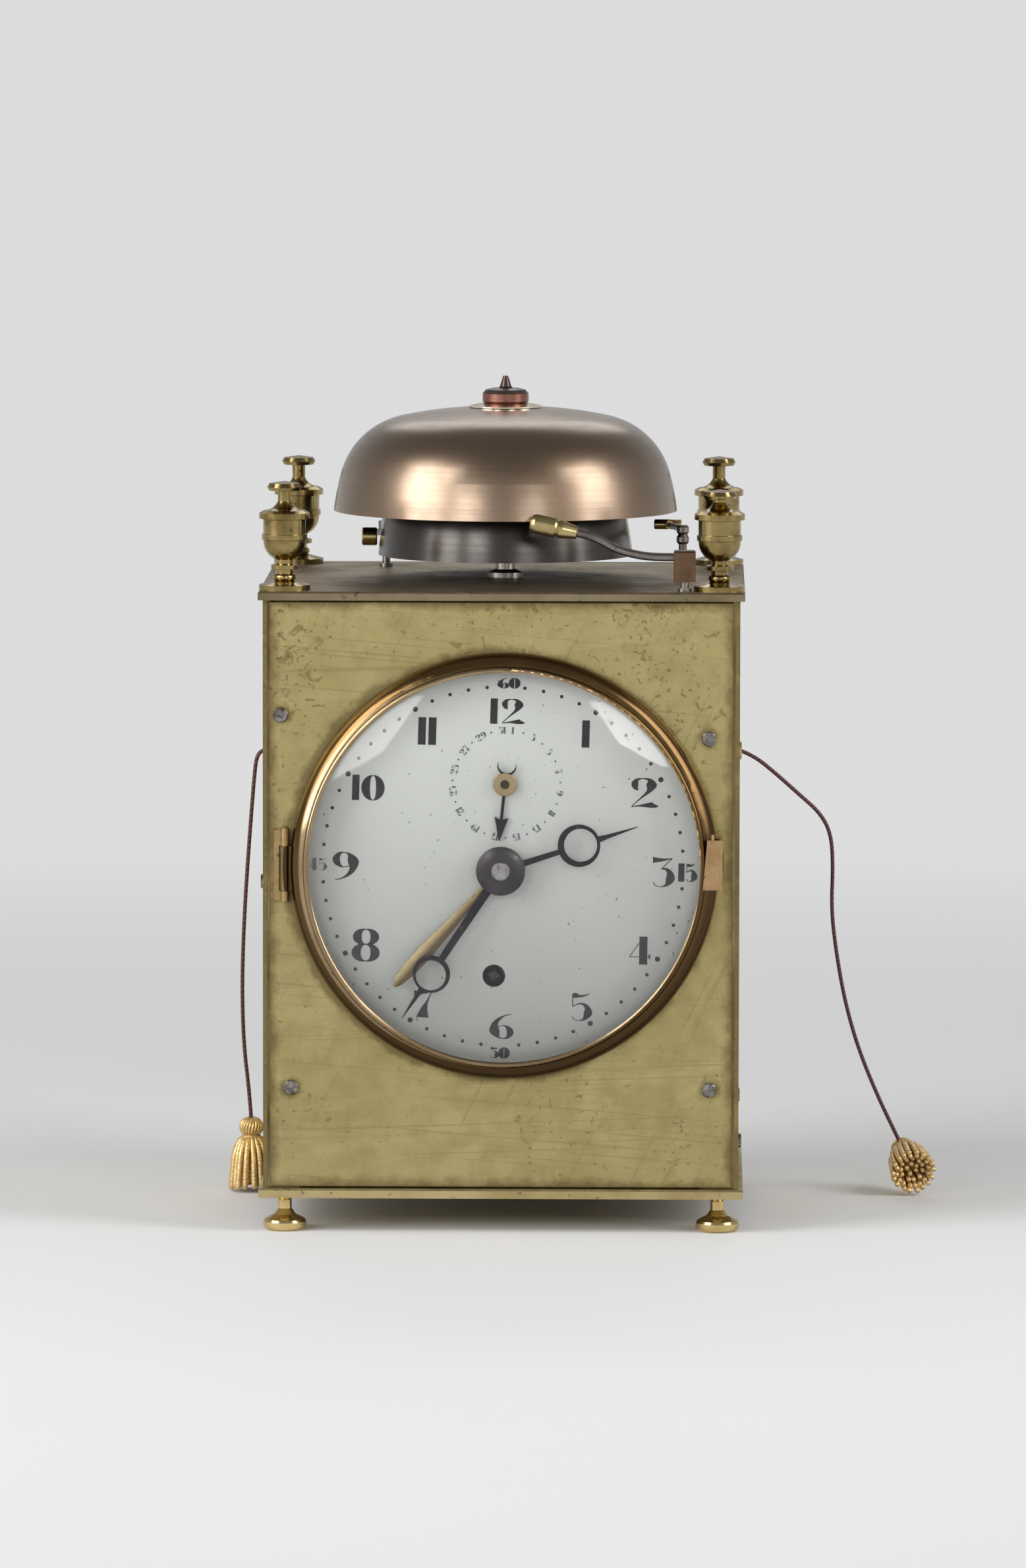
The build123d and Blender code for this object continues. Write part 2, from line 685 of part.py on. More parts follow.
def bell(rim, radius, height, wall, shoulder, skirt):
    """A bell turned about the case's upright centre line, from its crown out to the rim and back inside.

    The shoulder and the skirt are points of its outer curve: radius, height above the rim.
    """
    with BuildPart() as shell:
        with BuildSketch(upright_section(0, middle_y)):
            with BuildLine():
                flat = Line((bell_hole_radius, rim + height), (bell_shoulder_radius + 0.6, rim + height))
                crown = TangentArc(flat @ 1, (shoulder[0], rim + shoulder[1]), tangent=(1, 0))
                round_over = TangentArc(crown @ 1, (skirt[0], rim + skirt[1]), tangent=crown % 1)
                flare = TangentArc(round_over @ 1, (radius, rim), tangent=round_over % 1)
                inside = []
                for line, at in ((flare, 1), (flare, 0), (round_over, 0), (crown, 0)):
                    slope = line % at
                    corner = line @ at
                    inside.append((corner.X + wall * slope.Y, corner.Y - wall * slope.X))
                Polyline(flare @ 1, (inside[0][0], rim), inside[1])
                ThreePointArc(inside[1], middle_of(round_over, wall), inside[2])
                ThreePointArc(inside[2], middle_of(crown, wall), inside[3])
                Polyline(inside[3], (bell_hole_radius, rim + height - wall), flat @ 0)
            make_face()
        revolve(axis=upright(0, middle_y))
    return shell


outer_bell = bell(
    outer_bell_rim,
    outer_bell_radius,
    outer_bell_height,
    outer_bell_wall,
    outer_bell_shoulder,
    outer_bell_skirt,
)
write(outer_bell, "outer_bell")
inner_bell = bell(
    inner_bell_rim,
    inner_bell_radius,
    inner_bell_height,
    inner_bell_wall,
    inner_bell_shoulder,
    inner_bell_skirt,
)
write(inner_bell, "inner_bell")

inner_crown_z = inner_bell_rim + inner_bell_height
outer_crown_z = outer_bell_rim + outer_bell_height
nut_top_z = outer_crown_z + bell_washer_thick + bell_nut_height


def turned_upright(corners):
    """A piece turned about the bells' upright centre line from corners given as radius, height."""
    with BuildPart() as piece:
        with BuildSketch(upright_section(0, middle_y)):
            with BuildLine():
                Polyline(*corners, close=True)
            make_face()
        revolve(axis=upright(0, middle_y))
    return piece


bell_post = turned_upright(
    (
        (0, ceiling_z - 2.0),
        (bell_post_radius, ceiling_z - 2.0),
        (bell_post_radius, roof_z),
        (bell_foot_radius, roof_z),
        (bell_foot_radius, roof_z + 0.6 * bell_foot_height),
        (bell_post_radius + 0.7, roof_z + bell_foot_height),
        (bell_post_radius + 0.7, inner_crown_z - inner_bell_wall - 3.0),
        (bell_shoulder_radius, inner_crown_z - inner_bell_wall - 2.0),
        (bell_shoulder_radius, inner_crown_z - inner_bell_wall),
        (bell_post_radius, inner_crown_z - inner_bell_wall),
        (bell_post_radius, nut_top_z),
        (0.8 * bell_post_radius, nut_top_z + 0.5),
        (0.35 * bell_post_radius, nut_top_z + bell_tip_height),
        (0, nut_top_z + bell_tip_height),
    )
)
write(bell_post, "bell_post")
bell_spacer = turned_upright(
    (
        (bell_hole_radius, inner_crown_z),
        (bell_shoulder_radius, inner_crown_z),
        (bell_shoulder_radius, outer_crown_z - outer_bell_wall),
        (bell_hole_radius, outer_crown_z - outer_bell_wall),
    )
)
write(bell_spacer, "bell_spacer")
bell_washer = turned_upright(
    (
        (bell_hole_radius, outer_crown_z),
        (bell_washer_radius, outer_crown_z),
        (bell_washer_radius, outer_crown_z + 0.35 * bell_washer_thick),
        (bell_nut_radius + 0.6, outer_crown_z + bell_washer_thick),
        (bell_hole_radius, outer_crown_z + bell_washer_thick),
    )
)
write(bell_washer, "bell_washer")
bell_nut = turned_upright(
    (
        (bell_hole_radius, nut_top_z - bell_nut_height),
        (bell_nut_radius - 0.5, nut_top_z - bell_nut_height),
        (bell_nut_radius, nut_top_z - 0.85 * bell_nut_height),
        (bell_nut_radius, nut_top_z - 0.35 * bell_nut_height),
        (bell_nut_radius - 0.9, nut_top_z - 0.1 * bell_nut_height),
        (bell_nut_radius - 2.6, nut_top_z),
        (bell_hole_radius, nut_top_z),
    )
)
write(bell_nut, "bell_nut")


# ======================================== hammers ======================================================
def bell_reach(rim, radius, height):
    """Outer radius of a bell at a height a little above its rim, where its skirt is nearly straight."""
    return radius - 0.12 * (height - rim)


def unit(start, end):
    """Vector of length one from start to end."""
    return (Vector(*end) - Vector(*start)).normalized()


def bar(start, end, radius, end_radius=None):
    """Solid of a straight round bar between two points, tapered if a second radius is given."""
    along = unit(start, end)
    with BuildPart() as piece:
        with BuildSketch(Plane(origin=start, z_dir=along)):
            Circle(radius)
        with BuildSketch(Plane(origin=end, z_dir=along)):
            Circle(end_radius or radius)
        loft()
    return piece.part


def turned_along(start, along, across, corners):
    """A piece turned about a line from corners given as radius, distance along the line."""
    plane = Plane(origin=start, x_dir=across, z_dir=Vector(*across).cross(Vector(*along)))
    with BuildPart() as piece:
        with BuildSketch(plane):
            with BuildLine():
                Polyline(*corners, close=True)
            make_face()
        revolve(axis=Axis(plane.origin, plane.y_dir))
    return piece


def bent_bar(points, start_towards, end_towards, radius):
    """Solid of a round bar bent smoothly through the points."""
    with BuildPart() as piece:
        with BuildLine() as route:
            Spline(*points, tangents=(start_towards, end_towards))
        with BuildSketch(Plane(origin=route.line @ 0, z_dir=start_towards)):
            Circle(radius)
        sweep()
    return piece.part


def hammer_arbor(x, y, top, tail):
    """Upright arbor through the top plate with a collar above it and a tail inside the case."""
    low = ceiling_z - hammer_arbor_reach
    with BuildPart() as piece:
        with BuildSketch(Plane.XY.offset(low)):
            with Locations((x, y)):
                Circle(hammer_arbor_radius)
        extrude(amount=top - low)
        with BuildSketch(Plane.XY.offset(roof_z + fit)):
            with Locations((x, y)):
                Circle(hammer_arbor_radius + 0.7)
        extrude(amount=0.9)
        with BuildSketch(Plane.XY.offset(low)):
            with Locations((x + tail[0] / 2, y + tail[1] / 2)):
                Rectangle(abs(tail[0]) + 1.6, abs(tail[1]) + 1.6)
        extrude(amount=1.4)
    return piece.part


strike_arbor_y = hammer_arbors[0][1]
with BuildPart() as strike_hammer_arbor:
    add(hammer_arbor(strike_arbor_x, strike_arbor_y, strike_hub_low, (0, hammer_tail)))
    with BuildSketch(Plane.XY.offset(strike_hub_low)):
        with Locations((strike_arbor_x, strike_arbor_y)):
            Circle(hammer_arbor_radius - 0.3)
    extrude(amount=strike_hub_high - strike_hub_low)
write(strike_hammer_arbor, "strike_hammer_arbor")

with BuildPart() as strike_hammer_hub:
    with BuildSketch(Plane.XY.offset(strike_hub_low)):
        with Locations((strike_arbor_x, strike_arbor_y)):
            Rectangle(strike_hub_side, strike_hub_side)
    extrude(amount=strike_hub_high - strike_hub_low)
    chamfer(strike_hammer_hub.edges().filter_by(Axis.Z), 0.5)
    chamfer(strike_hammer_hub.faces().sort_by(Axis.Z)[-1].edges(), 0.4)
    with Locations((strike_arbor_x, strike_arbor_y, strike_hub_high)):
        Hole(hammer_arbor_radius - 0.3 + fit, depth=strike_hub_high - strike_hub_low)
write(strike_hammer_hub, "strike_hammer_hub")

strike_tilt = radians(strike_head_tilt)
strike_along = (cos(strike_tilt), 0, -sin(strike_tilt))
strike_across = (sin(strike_tilt), 0, cos(strike_tilt))
strike_free_x = strike_head_x - strike_head_length / 2
strike_head_y = middle_y - (outer_bell_radius**2 - strike_free_x**2) ** 0.5 - hammer_gap - strike_head_radius
strike_head_start = (
    strike_head_x - strike_along[0] * strike_head_length / 2,
    strike_head_y,
    strike_head_height - strike_along[2] * strike_head_length / 2,
)
strike_ferrule_end = strike_head_length + strike_ferrule_length
strike_head = turned_along(
    strike_head_start,
    strike_along,
    strike_across,
    (
        (0, 0),
        (0.5 * strike_head_radius, 0),
        (0.82 * strike_head_radius, 0.4),
        (0.97 * strike_head_radius, 1.2),
        (strike_head_radius, 2.0),
        (strike_head_radius, strike_head_length - 0.6),
        (0.9 * strike_head_radius, strike_head_length - 0.1),
        (0.78 * strike_head_radius, strike_head_length),
        (0.78 * strike_head_radius, strike_head_length + 0.4),
        (0.92 * strike_head_radius, strike_head_length + 0.6),
        (0.92 * strike_head_radius, strike_head_length + 1.6),
        (strike_arm_radius + 0.6, strike_ferrule_end - 0.3),
        (strike_arm_radius + 0.3, strike_ferrule_end),
        (0, strike_ferrule_end),
    ),
)
write(strike_head, "strike_hammer_head")

strike_arm_start = (strike_arbor_x - strike_hub_side / 2, strike_arbor_y, strike_hub_high - 1.8)
strike_arm_end = tuple(Vector(*strike_head_start) + Vector(*strike_along) * strike_ferrule_end)
strike_arm_span = strike_arm_start[0] - strike_arm_end[0]
with BuildPart() as strike_hammer_arm:
    add(
        bent_bar(
            (
                strike_arm_start,
                (
                    strike_arm_start[0] - 0.3 * strike_arm_span,
                    strike_arbor_y + 0.2,
                    strike_arm_start[2] + 0.3,
                ),
                (strike_arm_end[0] + 0.42 * strike_arm_span, strike_head_y - 0.5, strike_arm_end[2] - 4.4),
                strike_arm_end,
            ),
            Vector(-1, 0, 0),
            -Vector(*strike_along),
            strike_arm_radius,
        )
    )
write(strike_hammer_arm, "strike_hammer_arm")

alarm_arbor_y = hammer_arbors[1][1]
alarm_head_y = middle_y + alarm_head_back
alarm_contact = bell_reach(inner_bell_rim, inner_bell_radius, alarm_head_height - alarm_head_radius)
alarm_head_right = -alarm_contact - hammer_gap
alarm_head_centre = (alarm_head_right - alarm_head_length / 2, alarm_head_y, alarm_head_height)
alarm_arm_start = (alarm_arbor_x, alarm_arbor_y, alarm_head_height)
alarm_along = unit(alarm_head_centre, alarm_arm_start)
alarm_socket_end = tuple(Vector(*alarm_head_centre) + alarm_along * (alarm_head_radius + 1.4))
with BuildPart() as alarm_hammer_head:
    with BuildSketch(Plane.YZ.offset(alarm_head_right)):
        with Locations((alarm_head_y, alarm_head_height)):
            Circle(alarm_head_radius)
    extrude(amount=-alarm_head_length)
    chamfer(alarm_hammer_head.edges(), 0.3)
    add(bar(alarm_head_centre, alarm_socket_end, hammer_arm_radius + 0.5))
write(alarm_hammer_head, "alarm_hammer_head")

with BuildPart() as alarm_hammer_arm:
    add(hammer_arbor(alarm_arbor_x, alarm_arbor_y, alarm_head_height + 6.0, (hammer_tail, 0)))
    with BuildSketch(Plane.XY.offset(alarm_head_height - 2.0)):
        with Locations((alarm_arbor_x, alarm_arbor_y)):
            Circle(hammer_arbor_radius + 1.1)
    extrude(amount=4.0)
    add(bar(alarm_arm_start, alarm_socket_end, hammer_arm_radius))
write(alarm_hammer_arm, "alarm_hammer_arm")

repeat_arbor_y = hammer_arbors[2][1]
repeat_head_y = middle_y + repeat_head_back
repeat_head_centre = (repeat_head_x, repeat_head_y, repeat_head_height)
repeat_arm_start = (repeat_arbor_x, repeat_arbor_y, repeat_head_height)
repeat_along = unit(repeat_head_centre, repeat_arm_start)
repeat_socket_end = tuple(Vector(*repeat_head_centre) + repeat_along * (repeat_head_radius + 1.2))
with BuildPart() as repeat_hammer_head:
    with BuildSketch(Plane.YZ.offset(repeat_head_x - repeat_head_length / 2)):
        with Locations((repeat_head_y, repeat_head_height)):
            Circle(repeat_head_radius)
    extrude(amount=repeat_head_length)
    chamfer(repeat_hammer_head.edges(), 0.25)
    add(bar(repeat_head_centre, repeat_socket_end, hammer_arm_radius + 0.3))
write(repeat_hammer_head, "repeat_hammer_head")

knob_low = repeat_head_height - 4.0
knob_middle = repeat_head_height - 1.4
knob_high = repeat_head_height + 1.2
with BuildPart() as repeat_hammer_arm:
    add(hammer_arbor(repeat_arbor_x, repeat_arbor_y, knob_low, (0, -hammer_tail)))
    with BuildSketch(upright_section(repeat_arbor_x, repeat_arbor_y)):
        with BuildLine():
            Polyline(
                (0, knob_low),
                (1.3, knob_low),
                (1.7, knob_low + 0.6),
                (1.7, knob_middle - 0.7),
                (1.25, knob_middle),
                (1.7, knob_middle + 0.7),
                (1.7, knob_high - 0.6),
                (1.2, knob_high),
                (0, knob_high),
                close=True,
            )
        make_face()
    revolve(axis=upright(repeat_arbor_x, repeat_arbor_y))
    add(bar(repeat_arm_start, repeat_socket_end, hammer_arm_radius))
write(repeat_hammer_arm, "repeat_hammer_arm")


# ======================================== bezel and dial ================================================
def ahead(reach):
    """Depth of a point this far in front of the front panel's face."""
    return front_y - reach


seat_top = glass_seat + glass_thick
groove_radius = bezel_lip_radius + bezel_bead_width + 0.1
with BuildPart() as bezel_ring:
    with BuildSketch(arbor_section(bezel_x, bezel_z)):
        with BuildLine():
            back = Polyline(
                (bezel_bore_radius, ahead(glass_seat)),
                (bezel_bore_radius, ahead(bezel_gap)),
                (bezel_radius, ahead(bezel_gap)),
                (bezel_radius, ahead(1.6)),
            )
            dome = ThreePointArc(
                back @ 1, (bezel_radius - 1.0, ahead(4.5)), (groove_radius + 0.3, ahead(bezel_depth - 1.1))
            )
            groove = Line(dome @ 1, (groove_radius, ahead(bezel_depth - 1.3)))
            bead = ThreePointArc(
                groove @ 1,
                (bezel_lip_radius + 0.6 * bezel_bead_width, ahead(bezel_depth)),
                (bezel_lip_radius, ahead(bezel_depth - 0.3)),
            )
            Polyline(
                bead @ 1,
                (bezel_lip_radius, ahead(seat_top)),
                (bezel_lip_radius + 0.8 + fit, ahead(seat_top)),
                (bezel_lip_radius + 0.8 + fit, ahead(glass_seat)),
                back @ 0,
            )
        make_face()
    revolve(axis=arbor_axis(bezel_x, bezel_z))
    with BuildSketch(Plane.XY.offset(hinge_knuckle_low)):
        with Locations((hinge_x, hinge_y)):
            Circle(hinge_barrel_radius)
        with Locations((hinge_x + 1.6, hinge_y)):
            Rectangle(3.2, 1.0)
    extrude(amount=hinge_knuckle_high - hinge_knuckle_low)
    with BuildSketch(Plane.XY.offset(hinge_knuckle_low)):
        with Locations((hinge_x, hinge_y)):
            Circle(hinge_pin_radius + fit)
    extrude(amount=hinge_knuckle_high - hinge_knuckle_low, mode=Mode.SUBTRACT)
write(bezel_ring, "bezel_ring")

with BuildPart() as bezel_hinge_leaf:
    leaf_left = hinge_x - hinge_barrel_radius - 0.3 - hinge_leaf_width
    with BuildSketch(at_depth(front_y)):
        with Locations((leaf_left + hinge_leaf_width / 2, (hinge_low + hinge_high) / 2)):
            Rectangle(hinge_leaf_width, hinge_high - hinge_low)
    extrude(amount=hinge_leaf_thick)
    chamfer(bezel_hinge_leaf.faces().sort_by(Axis.Y)[0].edges(), 0.2)
    for low, high in ((hinge_low, hinge_knuckle_low - 0.2), (hinge_knuckle_high + 0.2, hinge_high)):
        with BuildSketch(Plane.XY.offset(low)):
            with Locations((hinge_x, hinge_y)):
                Circle(hinge_barrel_radius)
            with Locations(((leaf_left + 1.0 + hinge_x) / 2, front_y - hinge_leaf_thick / 2)):
                Rectangle(hinge_x - leaf_left - 1.0, hinge_leaf_thick)
        extrude(amount=high - low)
        with BuildSketch(Plane.XY.offset(low)):
            with Locations((hinge_x, hinge_y)):
                Circle(hinge_pin_radius + fit)
        extrude(amount=high - low, mode=Mode.SUBTRACT)
write(bezel_hinge_leaf, "bezel_hinge_leaf")

with BuildPart() as bezel_hinge_pin:
    with BuildSketch(Plane.XY.offset(hinge_low)):
        with Locations((hinge_x, hinge_y)):
            Circle(hinge_pin_radius)
    extrude(amount=hinge_high - hinge_low)
    with BuildSketch(Plane.XY.offset(hinge_high)):
        with Locations((hinge_x, hinge_y)):
            Circle(hinge_pin_radius + 0.45)
    extrude(amount=0.6)
    chamfer(bezel_hinge_pin.faces().sort_by(Axis.Z)[-1].edges(), 0.2)
write(bezel_hinge_pin, "bezel_hinge_pin")

glass_rim_radius = bezel_lip_radius + 0.8
glass_dome_radius = bezel_lip_radius - 0.3
with BuildPart() as bezel_glass:
    with BuildSketch(arbor_section(bezel_x, bezel_z)):
        with BuildLine():
            crowns = []
            for level in (glass_seat, seat_top):
                crown = TangentArc(
                    (0, ahead(level + glass_sag)),
                    (glass_crown_radius, ahead(level + glass_sag - glass_crown_drop)),
                    tangent=(1, 0),
                )
                TangentArc(crown @ 1, (glass_dome_radius, ahead(level)), tangent=crown % 1)
                crowns.append(crown)
            Polyline(
                (glass_dome_radius, ahead(glass_seat)),
                (glass_rim_radius, ahead(glass_seat)),
                (glass_rim_radius, ahead(seat_top)),
                (glass_dome_radius, ahead(seat_top)),
            )
            Line(crowns[0] @ 0, crowns[1] @ 0)
        make_face()
    revolve(axis=arbor_axis(bezel_x, bezel_z))
write(bezel_glass, "bezel_glass")

with BuildPart() as bezel_catch:
    with BuildSketch(at_depth(ahead(bezel_depth))):
        with BuildLine():
            Polyline(
                (catch_outer_x - catch_width, catch_low),
                (catch_outer_x, catch_low),
                (catch_outer_x, catch_high),
                (catch_outer_x - catch_width + 1.2, catch_high),
                close=True,
            )
        make_face()
    extrude(amount=catch_thick)
    with BuildSketch(at_depth(ahead(bezel_depth))):
        with Locations((catch_outer_x - catch_thick / 2, catch_z)):
            Rectangle(catch_thick, catch_high - catch_low)
    extrude(amount=-(bezel_depth - bezel_gap))
    fillet(bezel_catch.faces().sort_by(Axis.Y)[0].edges().sort_by(Axis.X)[-1], 0.6)
    with BuildSketch(at_depth(ahead(bezel_gap))):
        with Locations((tongue_x, catch_z)):
            Rectangle(tongue_thick, tongue_height)
    extrude(amount=-(bezel_gap + catch_tongue))
    with BuildSketch(Plane.XY.offset(catch_high - 0.8)):
        with Locations((catch_outer_x - 0.5 * catch_width, catch_y + catch_thick / 2)):
            Circle(0.55 * catch_thick)
    extrude(amount=2.4)
write(bezel_catch, "bezel_catch")

dial_z = dial_height
dial_edge = ahead(-dial_setback)
with BuildPart() as dial:
    with BuildSketch(arbor_section(0, dial_z)):
        with BuildLine():
            face = TangentArc((0, dial_edge - dial_crown), (dial_radius, dial_edge), tangent=(1, 0))
            edge = Line(face @ 1, (dial_radius, dial_edge + dial_thick))
            rear = TangentArc((0, dial_edge - dial_crown + dial_thick), edge @ 1, tangent=(1, 0))
            Line(rear @ 0, face @ 0)
        make_face()
    revolve(axis=arbor_axis(0, dial_z))
    with BuildSketch(at_depth(movement_front_y)):
        with Locations((0, dial_z)):
            with PolarLocations(dial_foot_circle, 3, start_angle=30):
                Circle(dial_foot_radius)
    extrude(until=Until.NEXT)
    with BuildSketch(at_depth(dial_edge + dial_thick)):
        with Locations((0, dial_z)):
            Circle(alarm_pipe_radius + 0.5)
        with Locations((winding_x, winding_z)):
            Circle(winding_hole_radius)
        with Locations((date_x, date_z)):
            Circle(date_arbor_radius + 0.3)
    extrude(amount=dial_thick + dial_crown, mode=Mode.SUBTRACT)
write(dial, "dial")


# ======================================== hands ========================================================
def hand_plane(x, z, reach, angle):
    """Plane of a hand's back face, with its own X axis along the hand."""
    along = (cos(radians(angle)), 0, sin(radians(angle)))
    return Plane(origin=(x, ahead(reach), z), x_dir=along, z_dir=(0, -1, 0))


def taper(*stations):
    """Corners of an outline that is symmetrical about the hand's own axis, from distance, half width."""
    return [(at, -half) for at, half in stations] + [(at, half) for at, half in reversed(stations)]


def moon_hand(plane, hub, ring_at, ring, hole, shift, arm, tip, length, bore):
    """Face of a hand with an eccentric moon ring between its arm and its slender tip."""
    with BuildSketch(plane) as sketch:
        Circle(hub)
        with BuildLine():
            Polyline(*taper((0, arm), (ring_at - ring + 0.4, 0.75 * arm)), close=True)
        make_face()
        with Locations((ring_at, 0)):
            Circle(ring)
        with BuildLine():
            far = ring_at + ring
            Polyline(*taper((far - 0.4, tip), (far + 2.2, 0.65 * tip), (length, 0.1)), close=True)
        make_face()
        with Locations((ring_at + shift, 0)):
            Circle(hole, mode=Mode.SUBTRACT)
        Circle(bore, mode=Mode.SUBTRACT)
    return sketch.sketch


with BuildPart() as hour_hand:
    extrude(
        moon_hand(
            hand_plane(0, dial_z, hour_hand_reach, hour_angle),
            hour_hub_radius,
            hour_ring_at,
            hour_ring_radius,
            hour_ring_radius - 1.3,
            0.45,
            0.95,
            0.9,
            hour_length,
            cannon_radius + 0.06,
        ),
        amount=hand_thick,
    )
write(hour_hand, "hour_hand")

with BuildPart() as minute_hand:
    extrude(
        moon_hand(
            hand_plane(0, dial_z, minute_hand_reach, minute_angle),
            minute_hub_radius,
            minute_ring_at,
            minute_ring_radius,
            minute_ring_radius - 1.0,
            0.35,
            1.25,
            0.85,
            minute_length,
            centre_arbor_radius + fit,
        ),
        amount=hand_thick,
    )
write(minute_hand, "minute_hand")

with BuildPart() as alarm_hand:
    with BuildSketch(hand_plane(0, dial_z, alarm_hand_reach, alarm_angle)):
        Circle(alarm_hub_radius)
        with BuildLine():
            stations = (
                (0, 0.9),
                (0.3 * alarm_length, 1.1),
                (0.7 * alarm_length, 2.1),
                (0.85 * alarm_length, 2.0),
                (0.96 * alarm_length, 1.3),
                (alarm_length, 0.5),
            )
            Polyline(*taper(*stations), close=True)
        make_face()
        Circle(hour_pipe_radius + 0.06, mode=Mode.SUBTRACT)
    extrude(amount=hand_thick)
    with BuildSketch(at_depth(ahead(alarm_hand_reach))):
        with Locations((0, dial_z)):
            Circle(alarm_pipe_radius)
            Circle(hour_pipe_radius + 0.06, mode=Mode.SUBTRACT)
    extrude(amount=-(alarm_disc_y + alarm_disc_thick - ahead(alarm_hand_reach)))
    with BuildSketch(at_depth(alarm_disc_y + alarm_disc_thick)):
        with Locations((0, dial_z)):
            Circle(alarm_disc_radius)
            Circle(hour_pipe_radius + 0.06, mode=Mode.SUBTRACT)
    extrude(amount=alarm_disc_thick)
write(alarm_hand, "alarm_hand")

with BuildPart() as date_hand:
    with BuildSketch(hand_plane(date_x, date_z, date_hand_reach, date_angle)):
        Circle(date_hub_radius)
        with BuildLine():
            Polyline(
                *taper((0, 0.45), (0.62 * date_length, 0.4), (0.58 * date_length, 1.9), (date_length, 0.1)),
                close=True,
            )
        make_face()
        with BuildLine():
            Polyline(*taper((-2.9, 0.4), (0, 0.45)), close=True)
        make_face()
        with Locations((-5.0, 0)):
            Circle(2.6)
        with Locations((-5.5, 0)):
            Circle(2.4, mode=Mode.SUBTRACT)
        Circle(date_arbor_radius + fit, mode=Mode.SUBTRACT)
    extrude(amount=hand_thick)
write(date_hand, "date_hand")

minute_front = minute_hand_reach + hand_thick
collet_front = minute_front + collet_height
with BuildPart() as hand_collet:
    with BuildSketch(arbor_section(0, dial_z)):
        with BuildLine():
            disc = Polyline(
                (centre_arbor_radius + fit, ahead(collet_front)),
                (centre_arbor_radius + fit, ahead(minute_front)),
                (collet_radius, ahead(minute_front)),
                (collet_radius, ahead(minute_front + 0.25)),
            )
            top = ThreePointArc(
                disc @ 1,
                (0.75 * collet_radius, ahead(collet_front - 0.2)),
                (hand_screw_radius + 0.4, ahead(collet_front)),
            )
            Line(top @ 1, disc @ 0)
        make_face()
    revolve(axis=arbor_axis(0, dial_z))
write(hand_collet, "hand_collet")

arbor_front = minute_front + 0.4 * collet_height
with BuildPart() as hand_screw:
    with BuildSketch(at_depth(ahead(collet_front))):
        with Locations((0, dial_z)):
            Circle(hand_screw_radius)
    extrude(amount=hand_screw_height)
    chamfer(hand_screw.faces().sort_by(Axis.Y)[0].edges(), 0.15)
    with BuildSketch(at_depth(ahead(collet_front + hand_screw_height))):
        with Locations((0, dial_z)):
            Rectangle(2.2 * hand_screw_radius, screw_slot, rotation=20)
    extrude(amount=-0.35, mode=Mode.SUBTRACT)
    with BuildSketch(at_depth(ahead(collet_front))):
        with Locations((0, dial_z)):
            Circle(centre_arbor_radius)
    extrude(amount=-(collet_front - arbor_front))
write(hand_screw, "hand_screw")


# ======================================== movement =====================================================
plate_holes = (
    (0, dial_z, centre_arbor_radius + fit),
    (winding_x, winding_z, barrel_arbor_radius + fit),
    (third_x, third_z, pivot_radius + fit),
    (escape_x, escape_z, pivot_radius + fit),
)


def movement_plate(back, holes, studs=()):
    """Movement plate on two legs, with tenons into the case's plates and studs given as x, z, length."""
    leg_spacing = movement_plate_width - movement_leg_width
    with BuildPart() as plate:
        with BuildSketch(at_depth(back)):
            with Locations((0, (movement_low + movement_high) / 2)):
                Rectangle(movement_plate_width, movement_high - movement_low)
            with Locations((0, (floor_z + ceiling_z) / 2)):
                with GridLocations(leg_spacing, 0, 2, 1):
                    Rectangle(movement_leg_width, case_clear_height)
                    Rectangle(tenon_width, case_clear_height + 2 * tenon_height)
            for x, z, radius in holes:
                with Locations((x, z)):
                    Circle(radius, mode=Mode.SUBTRACT)
        extrude(amount=movement_plate_thick)
        for x, z, length in studs:
            with BuildSketch(at_depth(back - movement_plate_thick)):
                with Locations((x, z)):
                    Circle(pivot_radius)
            extrude(amount=length)
    return plate


pillar_holes = tuple((x, z, pillar_stud_radius + fit) for x, z in pillar_places)
movement_front_plate = movement_plate(
    movement_inner_y,
    plate_holes
    + pillar_holes
    + ((0, pallet_z, pivot_radius + fit), (date_x, date_z, date_arbor_radius + fit)),
    studs=((minute_stud_x, minute_stud_z, 6.0), (click_x, click_z, 3.0)),
)
write(movement_front_plate, "movement_front_plate")
pulley_z = cord_height - pulley_radius - cord_radius
movement_rear_plate = movement_plate(
    movement_back_y,
    plate_holes
    + pillar_holes
    + ((0, pallet_z, arbor_radius + fit),)
    + tuple((sign * pulley_x, pulley_z, pivot_radius + fit) for sign in (-1, 1)),
)
write(movement_rear_plate, "movement_rear_plate")


def turned(x, z, corners):
    """Solid turned about a front-to-back arbor from corners given as radius, depth."""
    with BuildPart() as piece:
        with BuildSketch(arbor_section(x, z)):
            with BuildLine():
                Polyline(*corners, close=True)
            make_face()
        revolve(axis=arbor_axis(x, z))
    return piece.part


with BuildPart() as movement_pillars:
    for x, z in pillar_places:
        add(
            turned(
                x,
                z,
                (
                    (0, movement_front_y),
                    (pillar_stud_radius, movement_front_y),
                    (pillar_stud_radius, movement_inner_y),
                    (pillar_radius, movement_inner_y),
                    (pillar_radius, movement_inner_y + 4),
                    (0.75 * pillar_radius, movement_inner_y + 7),
                    (0.75 * pillar_radius, movement_rear_y - 7),
                    (pillar_radius, movement_rear_y - 4),
                    (pillar_radius, movement_rear_y),
                    (pillar_stud_radius, movement_rear_y),
                    (pillar_stud_radius, movement_back_y),
                    (0, movement_back_y),
                ),
            )
        )
write(movement_pillars, "movement_pillars")

